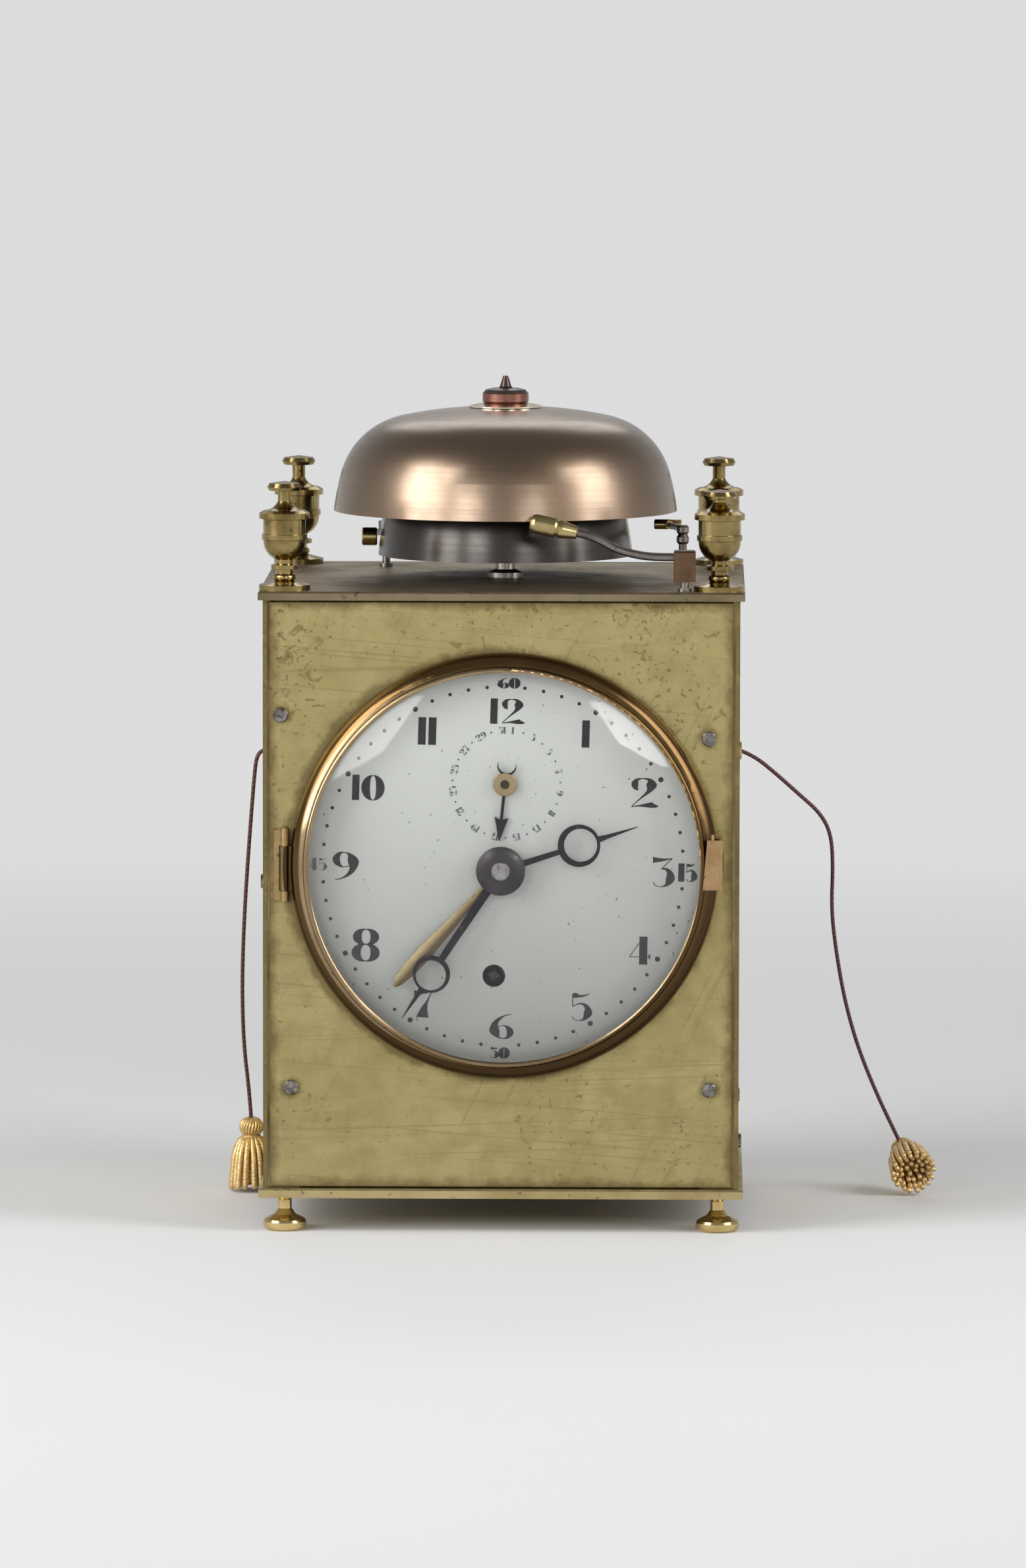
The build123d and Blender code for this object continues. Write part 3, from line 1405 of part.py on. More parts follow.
great_module = mesh_module(winding_x, winding_z, 0, dial_z, great_teeth + centre_pinion_leaves)
centre_module = mesh_module(0, dial_z, third_x, third_z, centre_teeth + third_pinion_leaves)
third_module = mesh_module(third_x, third_z, escape_x, escape_z, third_teeth + escape_pinion_leaves)
minute_module = mesh_module(0, dial_z, minute_stud_x, minute_stud_z, cannon_leaves + minute_teeth)
hour_module = mesh_module(0, dial_z, minute_stud_x, minute_stud_z, minute_pinion_leaves + hour_teeth)
great_y = movement_inner_y + 5.65
third_y = movement_inner_y + 16.65
centre_y = movement_rear_y - 13.35
escape_y = movement_rear_y - 7.35
end_shake = 0.1


def toothed(plane_y, x, z, corners, thick, bore=0.0):
    """Solid toothed blank whose front face stands at a depth on an arbor, with a bore if one is given."""
    plane = Plane(origin=(x, plane_y + thick, z), x_dir=(1, 0, 0), z_dir=(0, -1, 0))
    holes = ((0, 0, bore),) if bore else ()
    with BuildPart() as piece:
        extrude(outline_sketch(plane, corners, *holes), amount=thick)
    return piece.part


def arbor(x, z, radius, pivot):
    """Solid of an arbor between the plates, with a pivot in each of them."""
    return turned(
        x,
        z,
        (
            (0, movement_front_y + end_shake),
            (pivot, movement_front_y + end_shake),
            (pivot, movement_inner_y + end_shake),
            (radius, movement_inner_y + end_shake),
            (radius, movement_rear_y - end_shake),
            (pivot, movement_rear_y - end_shake),
            (pivot, movement_back_y - end_shake),
            (0, movement_back_y - end_shake),
        ),
    )


def crossings(plane_y, x, z, circle, radius):
    """Five round windows cut through a wheel."""
    with BuildPart() as cutter:
        with BuildSketch(Plane(origin=(x, plane_y, z), x_dir=(1, 0, 0), z_dir=(0, -1, 0))):
            with PolarLocations(circle, 5):
                Circle(radius)
        extrude(amount=wheel_thick, both=True)
    return cutter.part


to_centre = direction(winding_x, winding_z, 0, dial_z)
great_outline = wheel_outline(great_teeth, great_module, to_centre)
with BuildPart() as barrel:
    add(toothed(great_y, winding_x, winding_z, great_outline, wheel_thick))
    add(
        turned(
            winding_x,
            winding_z,
            (
                (0, great_y + wheel_thick),
                (barrel_radius, great_y + wheel_thick),
                (barrel_radius, great_y + wheel_thick + barrel_length),
                (barrel_arbor_radius + 3, great_y + wheel_thick + barrel_length),
                (barrel_arbor_radius + 2, great_y + wheel_thick + barrel_length + 1.2),
                (0, great_y + wheel_thick + barrel_length + 1.2),
            ),
        )
    )
    with BuildSketch(at_depth(movement_rear_y)):
        with Locations((winding_x, winding_z)):
            Circle(barrel_arbor_radius + fit)
    extrude(amount=movement_spacing, mode=Mode.SUBTRACT)
write(barrel, "barrel")

ratchet_thick = 1.5
ratchet_y = movement_front_y - 0.95 - ratchet_thick
square_end = ahead(0.45)
with BuildPart() as winding_arbor:
    with BuildSketch(at_depth(movement_back_y - end_shake)):
        with Locations((winding_x, winding_z)):
            Circle(barrel_arbor_radius)
    extrude(amount=movement_back_y - end_shake - ratchet_y + 0.6)
    add(
        toothed(
            ratchet_y,
            winding_x,
            winding_z,
            saw_outline(ratchet_teeth, ratchet_radius, ratchet_radius - 1.2, 0.88),
            ratchet_thick,
        )
    )
    with BuildSketch(at_depth(ratchet_y)):
        with Locations((winding_x, winding_z)):
            Rectangle(winding_square, winding_square, rotation=30)
    extrude(amount=ratchet_y - square_end)
    chamfer(winding_arbor.faces().sort_by(Axis.Y)[0].edges(), 0.3)
write(winding_arbor, "winding_arbor")

click_tip = ring_points(ratchet_radius + 0.7, [50])[0]
click_tip_x, click_tip_z = winding_x + click_tip[0] - click_x, winding_z + click_tip[1] - click_z
click_length = hypot(click_tip_x, click_tip_z)
with BuildPart() as ratchet_click:
    click_angle = degrees(atan2(click_tip_z, click_tip_x))
    click_along = (cos(radians(click_angle)), 0, sin(radians(click_angle)))
    click_plane = Plane(
        origin=(click_x, ratchet_y + ratchet_thick, click_z), x_dir=click_along, z_dir=(0, -1, 0)
    )
    with BuildSketch(click_plane):
        Circle(pivot_radius + 1.1)
        with BuildLine():
            Polyline((0, -1.2), (click_length, -0.1), (click_length - 0.4, 0.6), (0, 1.4), close=True)
        make_face()
        Circle(pivot_radius + fit, mode=Mode.SUBTRACT)
    extrude(amount=ratchet_thick)
write(ratchet_click, "ratchet_click")

with BuildPart() as centre_wheel:
    add(
        turned(
            0,
            dial_z,
            (
                (0, ahead(arbor_front)),
                (centre_arbor_radius, ahead(arbor_front)),
                (centre_arbor_radius, movement_inner_y + end_shake),
                (arbor_radius + 0.3, movement_inner_y + end_shake),
                (arbor_radius + 0.3, movement_rear_y - end_shake),
                (centre_arbor_radius, movement_rear_y - end_shake),
                (centre_arbor_radius, movement_back_y - end_shake),
                (0, movement_back_y - end_shake),
            ),
        )
    )
    pinion = pinion_outline(centre_pinion_leaves, great_module, to_centre + 180)
    add(toothed(great_y - 1.0, 0, dial_z, pinion, pinion_length))
    to_third = direction(0, dial_z, third_x, third_z)
    add(toothed(centre_y, 0, dial_z, wheel_outline(centre_teeth, centre_module, to_third), wheel_thick))
    centre_pitch = centre_teeth * centre_module / 2
    add(crossings(centre_y, 0, dial_z, 0.55 * centre_pitch, 0.24 * centre_pitch), mode=Mode.SUBTRACT)
write(centre_wheel, "centre_wheel")

with BuildPart() as third_wheel:
    add(arbor(third_x, third_z, arbor_radius, pivot_radius))
    pinion = pinion_outline(third_pinion_leaves, centre_module, to_third + 180)
    add(toothed(centre_y - 1.0, third_x, third_z, pinion, pinion_length))
    to_escape = direction(third_x, third_z, escape_x, escape_z)
    teeth = wheel_outline(third_teeth, third_module, to_escape)
    add(toothed(third_y, third_x, third_z, teeth, wheel_thick))
    third_pitch = third_teeth * third_module / 2
    add(crossings(third_y, third_x, third_z, 0.55 * third_pitch, 0.24 * third_pitch), mode=Mode.SUBTRACT)
write(third_wheel, "third_wheel")

escape_thick = 1.2
with BuildPart() as escape_wheel:
    add(arbor(escape_x, escape_z, arbor_radius, pivot_radius))
    pinion = pinion_outline(escape_pinion_leaves, third_module, to_escape + 180)
    add(toothed(third_y - 1.0, escape_x, escape_z, pinion, pinion_length))
    teeth = saw_outline(escape_teeth, escape_radius, escape_radius - 1.8, 0.25)
    add(toothed(escape_y, escape_x, escape_z, teeth, escape_thick))
write(escape_wheel, "escape_wheel")

cannon_y = movement_front_y - 3.15
hour_y = movement_front_y - 5.15
with BuildPart() as cannon_pinion:
    to_minute = direction(0, dial_z, minute_stud_x, minute_stud_z)
    teeth = pinion_outline(cannon_leaves, minute_module, to_minute)
    add(toothed(cannon_y, 0, dial_z, teeth, 2.2))
    with BuildSketch(at_depth(cannon_y + 2.2)):
        with Locations((0, dial_z)):
            Circle(cannon_radius)
    extrude(amount=cannon_y + 2.2 - ahead(minute_hand_reach))
    with BuildSketch(at_depth(cannon_y + 2.2)):
        with Locations((0, dial_z)):
            Circle(centre_arbor_radius + fit)
    extrude(amount=cannon_y + 2.2 - ahead(minute_hand_reach), mode=Mode.SUBTRACT)
write(cannon_pinion, "cannon_pinion")

with BuildPart() as minute_wheel:
    teeth = wheel_outline(minute_teeth, minute_module, to_minute + 180)
    add(toothed(cannon_y + 0.6, minute_stud_x, minute_stud_z, teeth, 1.0))
    leaves = pinion_outline(minute_pinion_leaves, hour_module, to_minute + 180)
    add(toothed(hour_y - 0.4, minute_stud_x, minute_stud_z, leaves, cannon_y + 0.6 - hour_y + 0.4))
    with BuildSketch(at_depth(cannon_y + 1.6)):
        with Locations((minute_stud_x, minute_stud_z)):
            Circle(pivot_radius + fit)
    extrude(amount=movement_setback, mode=Mode.SUBTRACT)
write(minute_wheel, "minute_wheel")

with BuildPart() as hour_wheel:
    teeth = wheel_outline(hour_teeth, hour_module, to_minute)
    add(toothed(hour_y, 0, dial_z, teeth, 1.0))
    with BuildSketch(at_depth(hour_y + 1.0)):
        with Locations((0, dial_z)):
            Circle(hour_pipe_radius)
    extrude(amount=hour_y + 1.0 - ahead(hour_hand_reach))
    with BuildSketch(at_depth(hour_y + 1.0)):
        with Locations((0, dial_z)):
            Circle(cannon_radius + 0.06)
    extrude(amount=hour_y + 1.0 - ahead(hour_hand_reach), mode=Mode.SUBTRACT)
write(hour_wheel, "hour_wheel")

date_y = movement_front_y - 6.55
date_outline = saw_outline(date_teeth, date_wheel_radius, date_wheel_radius - 1, 0.5)
with BuildPart() as date_wheel:
    add(toothed(date_y, date_x, date_z, date_outline, 0.8))
    with BuildSketch(at_depth(movement_inner_y)):
        with Locations((date_x, date_z)):
            Circle(date_arbor_radius)
    extrude(amount=movement_inner_y - ahead(date_hand_reach + hand_thick))
    with BuildSketch(at_depth(movement_front_y - end_shake)):
        with Locations((date_x, date_z)):
            Circle(date_arbor_radius + 0.8)
    extrude(amount=movement_front_y - end_shake - date_y)
    with BuildSketch(at_depth(ahead(date_hand_reach + hand_thick))):
        with Locations((date_x, date_z)):
            Circle(date_disc_radius)
    disc = extrude(amount=date_disc_thick)
    chamfer(disc.faces().sort_by(Axis.Y)[0].edges(), 0.15)
    with BuildSketch(at_depth(ahead(date_hand_reach + hand_thick + date_disc_thick))):
        with Locations((date_x, date_z)):
            Circle(date_dimple_radius)
    extrude(amount=-0.25, mode=Mode.SUBTRACT)
write(date_wheel, "date_wheel")

anchor_thick = 1.2
anchor_outline = (  # right half, in radii of the escape wheel from the anchor's arbor
    (0, 0.192),
    (0.16, 0.192),
    (0.72, -0.096),
    (1.024, -0.512),
    (0.952, -0.744),
    (0.848, -0.656),
    (0.816, -0.512),
    (0.576, -0.256),
    (0, -0.152),
)
crutch_y = movement_back_y + 7.0
prong_x = pendulum_rod_radius + 0.35 + 0.5
with BuildPart() as pallet_anchor:
    add(
        turned(
            0,
            pallet_z,
            (
                (0, movement_front_y + end_shake),
                (pivot_radius, movement_front_y + end_shake),
                (pivot_radius, movement_inner_y + end_shake),
                (arbor_radius, movement_inner_y + end_shake),
                (arbor_radius, crutch_y + 1.2),
                (0, crutch_y + 1.2),
            ),
        )
    )
    with BuildSketch(Plane(origin=(0, escape_y + anchor_thick, pallet_z), x_dir=(1, 0, 0), z_dir=(0, -1, 0))):
        with BuildLine():
            half = Polyline(*[(escape_radius * out, escape_radius * up) for out, up in anchor_outline])
            mirror(half, about=Plane.YZ)
        make_face()
    extrude(amount=anchor_thick)
    with BuildSketch(at_depth(crutch_y + 1.2)):
        with Locations((0, pallet_z - crutch_length / 2)):
            Rectangle(1.6, crutch_length)
        with Locations((0, pallet_z)):
            Circle(2.4)
        with Locations((0, pallet_z - crutch_length)):
            Rectangle(2 * prong_x + 1.4, 1.8)
    extrude(amount=1.2)
    with BuildSketch(at_depth(crutch_y + 1.0)):
        with Locations((0, pallet_z - crutch_length)):
            with GridLocations(2 * prong_x, 0, 2, 1):
                Circle(0.5)
    extrude(amount=-(pendulum_y + 1.5 - crutch_y - 1.0))
write(pallet_anchor, "pallet_anchor")

pendulum_pin_radius = 0.8
bob_z = pallet_z - pendulum_length + bob_radius
with BuildPart() as pendulum:
    with BuildSketch(Plane.XY.offset(bob_z - bob_radius - 3.0)):
        with Locations((0, pendulum_y)):
            Circle(pendulum_rod_radius)
    extrude(amount=pallet_z - bob_z + bob_radius + 3.0)
    with BuildSketch(Plane.XY.offset(bob_z - bob_radius - 2.0)):
        with Locations((0, pendulum_y)):
            Circle(1.8)
    extrude(amount=1.5)
    with BuildSketch(arbor_section(0, bob_z)):
        with BuildLine():
            front = ThreePointArc(
                (0, pendulum_y - bob_thick / 2),
                (0.72 * bob_radius, pendulum_y - 0.3 * bob_thick),
                (bob_radius, pendulum_y - 0.3),
            )
            rear = ThreePointArc(
                (bob_radius, pendulum_y + 0.3),
                (0.72 * bob_radius, pendulum_y + 0.3 * bob_thick),
                (0, pendulum_y + bob_thick / 2),
            )
            Line(front @ 1, rear @ 0)
            Line(rear @ 1, front @ 0)
        make_face()
    revolve(axis=arbor_axis(0, bob_z))
    with BuildSketch(at_depth(pendulum_y + 1.5)):
        with Locations((0, pallet_z)):
            Circle(2.4)
    extrude(amount=3.0)
    with BuildSketch(at_depth(pendulum_y + 1.5)):
        with Locations((0, pallet_z)):
            Circle(pendulum_pin_radius + fit)
    extrude(amount=3.0, mode=Mode.SUBTRACT)
write(pendulum, "pendulum")

cock_lug_y = pendulum_y + 2.5
cock_width, cock_foot_height, cock_height = 16.0, 7.0, 11.0  # the last above the pallet arbor
cock_lug_width = 6.0
with BuildPart() as pendulum_cock:
    with BuildSketch(at_depth(movement_back_y + 1.4)):
        with Locations((0, pallet_z + cock_height - cock_foot_height / 2)):
            Rectangle(cock_width, cock_foot_height)
    extrude(amount=1.4)
    with BuildSketch(at_depth(cock_lug_y + 1.5)):
        with Locations((0, pallet_z + cock_height - cock_foot_height / 2)):
            Rectangle(cock_lug_width, 2.0)
    extrude(amount=cock_lug_y + 1.5 - movement_back_y)
    with BuildSketch(at_depth(cock_lug_y + 1.5)):
        with Locations((0, pallet_z + 3.0)):
            Rectangle(cock_lug_width, 11.0)
    extrude(amount=1.5)
    with BuildSketch(at_depth(cock_lug_y)):
        with Locations((0, pallet_z)):
            Circle(pendulum_pin_radius)
    extrude(amount=cock_lug_y - pendulum_y + 2.2)
write(pendulum_cock, "pendulum_cock")

for sign, name in ((-1, "alarm_pulley"), (1, "repeat_pulley")):
    with BuildPart() as pulley:
        add(
            turned(
                sign * pulley_x,
                pulley_z,
                (
                    (0, movement_rear_y),
                    (pivot_radius, movement_rear_y),
                    (pivot_radius, movement_back_y + end_shake),
                    (arbor_radius + 0.8, movement_back_y + end_shake),
                    (arbor_radius + 0.8, cord_y - pulley_width / 2),
                    (pulley_flange_radius, cord_y - pulley_width / 2),
                    (pulley_flange_radius, cord_y - pulley_width / 2 + 1),
                    (pulley_radius, cord_y - pulley_width / 2 + 1.4),
                    (pulley_radius, cord_y + pulley_width / 2 - 1.4),
                    (pulley_flange_radius, cord_y + pulley_width / 2 - 1),
                    (pulley_flange_radius, cord_y + pulley_width / 2),
                    (0, cord_y + pulley_width / 2),
                ),
            )
        )
    write(pulley, name)


# ======================================== pull cords ===================================================
with BuildPart() as cord_eyelets:
    for sign in (-1, 1):
        with BuildSketch(Plane(origin=(sign * side_x, cord_y, cord_height), z_dir=(sign, 0, 0))):
            Circle(eyelet_flange_radius)
        flange = extrude(amount=eyelet_flange_thick)
        chamfer(flange.faces().sort_by(Axis.X)[-1 if sign > 0 else 0].edges(), 0.3)
        with BuildSketch(Plane(origin=(sign * side_x, cord_y, cord_height), z_dir=(sign, 0, 0))):
            Circle(eyelet_radius)
        extrude(amount=-(side_thick + 0.4))
        with BuildSketch(
            Plane(origin=(sign * (side_x + eyelet_flange_thick), cord_y, cord_height), z_dir=(sign, 0, 0))
        ):
            Circle(cord_radius - fit)
        extrude(amount=-(side_thick + eyelet_flange_thick + 0.4), mode=Mode.SUBTRACT)
write(cord_eyelets, "cord_eyelets")


def cord_radii(points):
    """Bend radius at each inner point of a cord's route, as large as its two runs allow."""
    radii = []
    for before, here, after in zip(points, points[1:], points[2:]):
        first, second = Vector(*here) - Vector(*before), Vector(*after) - Vector(*here)
        turn = radians(first.get_angle(second))
        radii.append(0.45 * min(first.length, second.length) / tan(turn / 2))
    return radii


def cord(points):
    """Round cord along a route of straight runs joined by bends."""
    with BuildPart() as piece:
        with BuildLine() as route:
            FilletPolyline(*points, radius=cord_radii(points))
        with BuildSketch(Plane(origin=route.line @ 0, z_dir=route.line % 0)):
            Circle(cord_radius)
        sweep()
    return piece


left_cord_points = (
    (-65.4, 10.85, 127.0),
    (-67.7, 10.85, 126.9),
    (-69.4, 11.0, 125.0),
    (-70.0, 11.5, 120.8),
    (-70.7, 12.8, 113.0),
    (-71.9, 15.8, 99.0),
    (-73.3, 19.3, 80.0),
    (-74.2, 23.3, 60.0),
    (-73.9, 26.8, 42.0),
    (-72.4, 29.4, 28.0),
    (-71.9, 30.0, 20.0),
)
right_cord_points = (
    (65.4, 10.85, 127.0),
    (69.2, 11.0, 125.6),
    (75.5, 11.8, 120.4),
    (82.3, 13.2, 114.2),
    (87.8, 14.8, 109.2),
    (90.9, 16.4, 103.2),
    (91.5, 18.4, 94.0),
    (91.1, 20.8, 81.5),
    (92.6, 23.4, 69.0),
    (95.0, 26.4, 55.5),
    (98.7, 29.8, 42.0),
    (104.0, 33.8, 28.5),
    (109.3, 37.6, 17.0),
    (112.0, 39.4, 11.4),
)
left_cord = cord(left_cord_points)
write(left_cord, "left_cord")
right_cord = cord(right_cord_points)
write(right_cord, "right_cord")

tassel_outline = (
    (0.0, 0.0),
    (1.0, 0.0),
    (1.3, 0.8),
    (0.8 * tassel_head_radius, 1.6),
    (tassel_head_radius, 3.3),
    (0.9 * tassel_head_radius, 5.2),
    (0.55 * tassel_head_radius, 6.4),
    (0.75 * tassel_head_radius, 6.7),
    (0.75 * tassel_head_radius, 7.6),
    (0.55 * tassel_head_radius, 8.0),
    (0.5 * tassel_skirt_radius, 9.2),
    (0.72 * tassel_skirt_radius, 12.0),
    (0.9 * tassel_skirt_radius, 16.0),
    (tassel_skirt_radius, 0.94 * tassel_length),
    (0.94 * tassel_skirt_radius, tassel_length),
    (0.0, tassel_length),
)


left_end, right_end = Vector(*left_cord_points[-1]), Vector(*right_cord_points[-1])
left_tassel = turned_along(left_end + Vector(0, 0, 1.0), (0, 0, -1), (1, 0, 0), tassel_outline)
write(left_tassel, "left_tassel")
right_tassel_along = (0.150, -0.955, -0.255)
right_tassel = turned_along(
    right_end - Vector(*right_tassel_along) * 2.7, right_tassel_along, (0.988, 0.155, 0), tassel_outline
)
write(right_tassel, "right_tassel")
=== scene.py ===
"""Looks of the travelling lantern clock: camera, lights, cords, tassels, dial figures and materials.

Lengths are metres in the part's own frame: +X to the viewer's right, -Y towards the viewer, +Z up.
Names in capitals that hold places on the clock are millimetres, turned into metres by MM.
"""

import json
import math
import random

import bpy
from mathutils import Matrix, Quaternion, Vector


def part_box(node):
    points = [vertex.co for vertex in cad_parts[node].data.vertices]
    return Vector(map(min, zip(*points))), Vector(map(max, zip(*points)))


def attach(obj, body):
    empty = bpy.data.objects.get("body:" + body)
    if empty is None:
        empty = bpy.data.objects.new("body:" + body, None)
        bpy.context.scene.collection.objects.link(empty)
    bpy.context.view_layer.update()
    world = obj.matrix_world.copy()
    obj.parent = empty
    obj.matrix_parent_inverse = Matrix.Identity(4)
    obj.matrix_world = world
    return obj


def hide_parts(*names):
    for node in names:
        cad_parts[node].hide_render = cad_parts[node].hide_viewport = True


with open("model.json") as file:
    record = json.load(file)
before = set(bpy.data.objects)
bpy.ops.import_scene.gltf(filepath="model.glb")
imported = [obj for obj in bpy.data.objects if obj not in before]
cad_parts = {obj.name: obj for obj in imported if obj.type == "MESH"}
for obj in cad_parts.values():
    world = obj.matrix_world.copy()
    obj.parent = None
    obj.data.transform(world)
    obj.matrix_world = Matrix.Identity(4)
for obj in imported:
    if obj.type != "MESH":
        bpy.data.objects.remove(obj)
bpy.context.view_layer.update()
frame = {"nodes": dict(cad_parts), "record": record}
nodes = frame["nodes"]
scene = bpy.context.scene
scene.view_settings.view_transform = "Standard"
MM = 0.001

# ---- camera --------------------------------------------------------------------------------------------
CAMERA_PLACE = Vector((52.264, -2718.06, 383.55))
CAMERA_AIM = Vector((3.228, -51.65, 123.512))
CAMERA_ROLL = 0.00166

camera_data = bpy.data.cameras.new("camera")
camera_data.sensor_fit = "HORIZONTAL"
camera_data.sensor_width = 36.0
camera_data.lens = 345.06
camera_data.clip_start = 0.05
camera_data.clip_end = 200.0
camera = bpy.data.objects.new("camera", camera_data)
scene.collection.objects.link(camera)
camera.location = CAMERA_PLACE * MM
camera.rotation_mode = "QUATERNION"
look = (CAMERA_AIM - CAMERA_PLACE).to_track_quat("-Z", "Y")
camera.rotation_quaternion = look @ Quaternion((0.0, 0.0, 1.0), CAMERA_ROLL)
scene.camera = camera


# ---- small helpers -------------------------------------------------------------------------------------
def mesh_object(name, corners, faces, material, smooth=True):
    """A new mesh object with one material."""
    mesh = bpy.data.meshes.new(name)
    mesh.from_pydata([tuple(corner) for corner in corners], [], faces)
    mesh.update()
    if smooth:
        mesh.shade_smooth()
    mesh.materials.append(material)
    piece = bpy.data.objects.new(name, mesh)
    scene.collection.objects.link(piece)
    return piece


def middle(node):
    """The middle of a node's box."""
    low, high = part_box(node)
    return (Vector(low) + Vector(high)) / 2


def smooth_line(stations, steps):
    """Points along a smooth line through stations, each a tuple of as many values."""
    line = []
    count = len(stations)
    for index in range(count - 1):
        before = stations[max(index - 1, 0)]
        start, end = stations[index], stations[index + 1]
        after = stations[min(index + 2, count - 1)]
        for step in range(steps):
            t = step / steps
            point = []
            for a, b, c, d in zip(before, start, end, after):
                square = (2 * a - 5 * b + 4 * c - d) * t * t
                cube = (3 * b - a - 3 * c + d) * t**3
                point.append(0.5 * (2 * b + (c - a) * t + square + cube))
            line.append(tuple(point))
    line.append(tuple(stations[-1]))
    return line


# ---- materials -----------------------------------------------------------------------------------------
class Graph:
    """A material's node tree, built up by short calls."""

    def __init__(self, name):
        self.material = bpy.data.materials.new(name)
        self.material.use_nodes = True
        self.tree = self.material.node_tree
        self.tree.nodes.clear()
        coordinates = self.node("TexCoord")
        self.place = coordinates.outputs["Object"]

    def node(self, kind, inputs=None, **settings):
        """A shader node with its settings and its inputs, which are values or other nodes' sockets."""
        node = self.tree.nodes.new("ShaderNode" + kind)
        for key, value in settings.items():
            setattr(node, key, value)
        for key, value in (inputs or {}).items():
            if isinstance(value, bpy.types.NodeSocket):
                self.tree.links.new(value, node.inputs[key])
            else:
                node.inputs[key].default_value = value
        return node

    def stretched(self, scale, turn=(0.0, 0.0, 0.0)):
        """Object coordinates scaled differently along each axis, after a turn in degrees."""
        turned = self.node("Mapping", {"Vector": self.place, "Rotation": [math.radians(a) for a in turn]})
        return self.node("Mapping", {"Vector": turned.outputs[0], "Scale": scale}).outputs[0]

    def noise(self, scale, detail=3.0, roughness=0.55, place=None, distortion=0.0):
        """Value of a noise pattern, about 0.3 to 0.7."""
        inputs = {
            "Vector": place or self.place,
            "Scale": scale,
            "Detail": detail,
            "Roughness": roughness,
            "Distortion": distortion,
        }
        return self.node("TexNoise", inputs).outputs["Fac"]

    def range(self, value, low, high, to_low=0.0, to_high=1.0):
        """A value mapped from one range to another, and kept inside it."""
        inputs = {0: value, 1: low, 2: high, 3: to_low, 4: to_high}
        return self.node("MapRange", inputs).outputs[0]

    def math(self, operation, first, second=0.0, clamp=False):
        """One sum of two values."""
        inputs = {0: first, 1: second}
        return self.node("Math", inputs, operation=operation, use_clamp=clamp).outputs[0]

    def smallest(self, values):
        """The smallest of several values."""
        least = values[0]
        for value in values[1:]:
            least = self.math("MINIMUM", least, value)
        return least

    def mix(self, share, first, second):
        """A colour between two others."""
        inputs = {0: share, 6: first, 7: second}
        return self.node("Mix", inputs, data_type="RGBA").outputs[2]

    def bump(self, height, depth, strength=1.0):
        """A surface normal raised by a height pattern, in metres."""
        return self.node("Bump", {"Height": height, "Distance": depth, "Strength": strength}).outputs[0]

    def axes(self):
        """The three object coordinates as values."""
        split = self.node("SeparateXYZ", {0: self.place})
        return split.outputs[0], split.outputs[1], split.outputs[2]

    def round_axis(self, centre, axis):
        """Distance from a line through centre along an axis, and the place along that line."""
        places = self.axes()
        squares = []
        for index in range(3):
            if index != axis:
                off = self.math("SUBTRACT", places[index], centre[index])
                squares.append(self.math("MULTIPLY", off, off))
        radius = self.math("SQRT", self.math("ADD", squares[0], squares[1]))
        return radius, places[axis]

    def surface(self, shader):
        """Join a shader to the output and hand back the material."""
        self.node("OutputMaterial", {"Surface": shader})
        return self.material


def colour(red, green, blue):
    """An opaque colour from linear values."""
    return (red, green, blue, 1.0)


def principled(graph, base, metallic, roughness, normal=None, **extra):
    """A Principled shader in a graph."""
    inputs = {"Base Color": base, "Metallic": metallic, "Roughness": roughness}
    if normal is not None:
        inputs["Normal"] = normal
    inputs.update(extra)
    return graph.node("BsdfPrincipled", inputs).outputs[0]


def worn(graph, bright, dull, spot, cloud, spots=0.66):
    """Base colour of worn metal: cloudy tarnish and small dark spots; hands back the clouds too."""
    clouds = graph.noise(cloud, 4.0, 0.6)
    marks = graph.range(graph.noise(520.0, 2.0, 0.5), spots, spots + 0.08)
    base = graph.mix(graph.range(clouds, 0.38, 0.68), bright, dull)
    return graph.mix(graph.math("MULTIPLY", marks, 0.75), base, spot), clouds


def metal(graph, base, clouds, gloss, dullness, depth=0.00002):
    """A metal surface with a fine worked grain, glossier where the clouds are thin."""
    fine = graph.noise(300.0, 3.0, 0.6)
    unevenness = graph.math("ADD", clouds, graph.math("MULTIPLY", fine, 0.5))
    rough = graph.range(unevenness, 0.5, 0.95, gloss, dullness)
    return graph.surface(principled(graph, base, 1.0, rough, graph.bump(fine, depth, 0.6)))


def aged_metal(name, bright, dull, spot, gloss, dullness, cloud=45.0, depth=0.00002, spots=0.66):
    """Worn metal: cloudy tarnish, small dark spots and a fine worked grain."""
    graph = Graph(name)
    base, clouds = worn(graph, bright, dull, spot, cloud, spots)
    return metal(graph, base, clouds, gloss, dullness, depth)


def turned_metal(name, bright, dull, gloss, dullness, node, axis, pitch, depth):
    """Metal turned on a lathe: fine rings about its axis and cloudy tarnish, under thin lacquer."""
    graph = Graph(name)
    radius, along = graph.round_axis(middle(node), axis)
    rings = graph.node("CombineXYZ", {0: radius, 1: along, 2: 0.0}).outputs[0]
    lathe = graph.noise(1.0 / pitch, 2.0, 0.6, place=rings)
    clouds = graph.noise(40.0, 4.0, 0.6, distortion=0.6)
    share = graph.range(graph.math("ADD", graph.math("MULTIPLY", lathe, 0.35), clouds), 0.48, 0.88)
    base = graph.mix(share, bright, dull)
    unevenness = graph.math("ADD", clouds, graph.math("MULTIPLY", lathe, 0.6))
    rough = graph.range(unevenness, 0.55, 1.0, gloss, dullness)
    lacquer = {"Coat Weight": 0.6, "Coat Roughness": 0.22}
    return graph.surface(principled(graph, base, 1.0, rough, graph.bump(lathe, depth, 0.5), **lacquer))


PANEL_SCREWS = ((-60.1, 142.2), (56.6, 136.0), (-57.4, 40.0), (56.9, 39.6))
# radii between which the panel turns darker round each screw
SCREW_RING = (2.2, 4.0)
# radius of the bezel, and width of the painted shade round its foot on the panel
BEZEL_RADIUS, BEZEL_RING = 58.4, 1.8
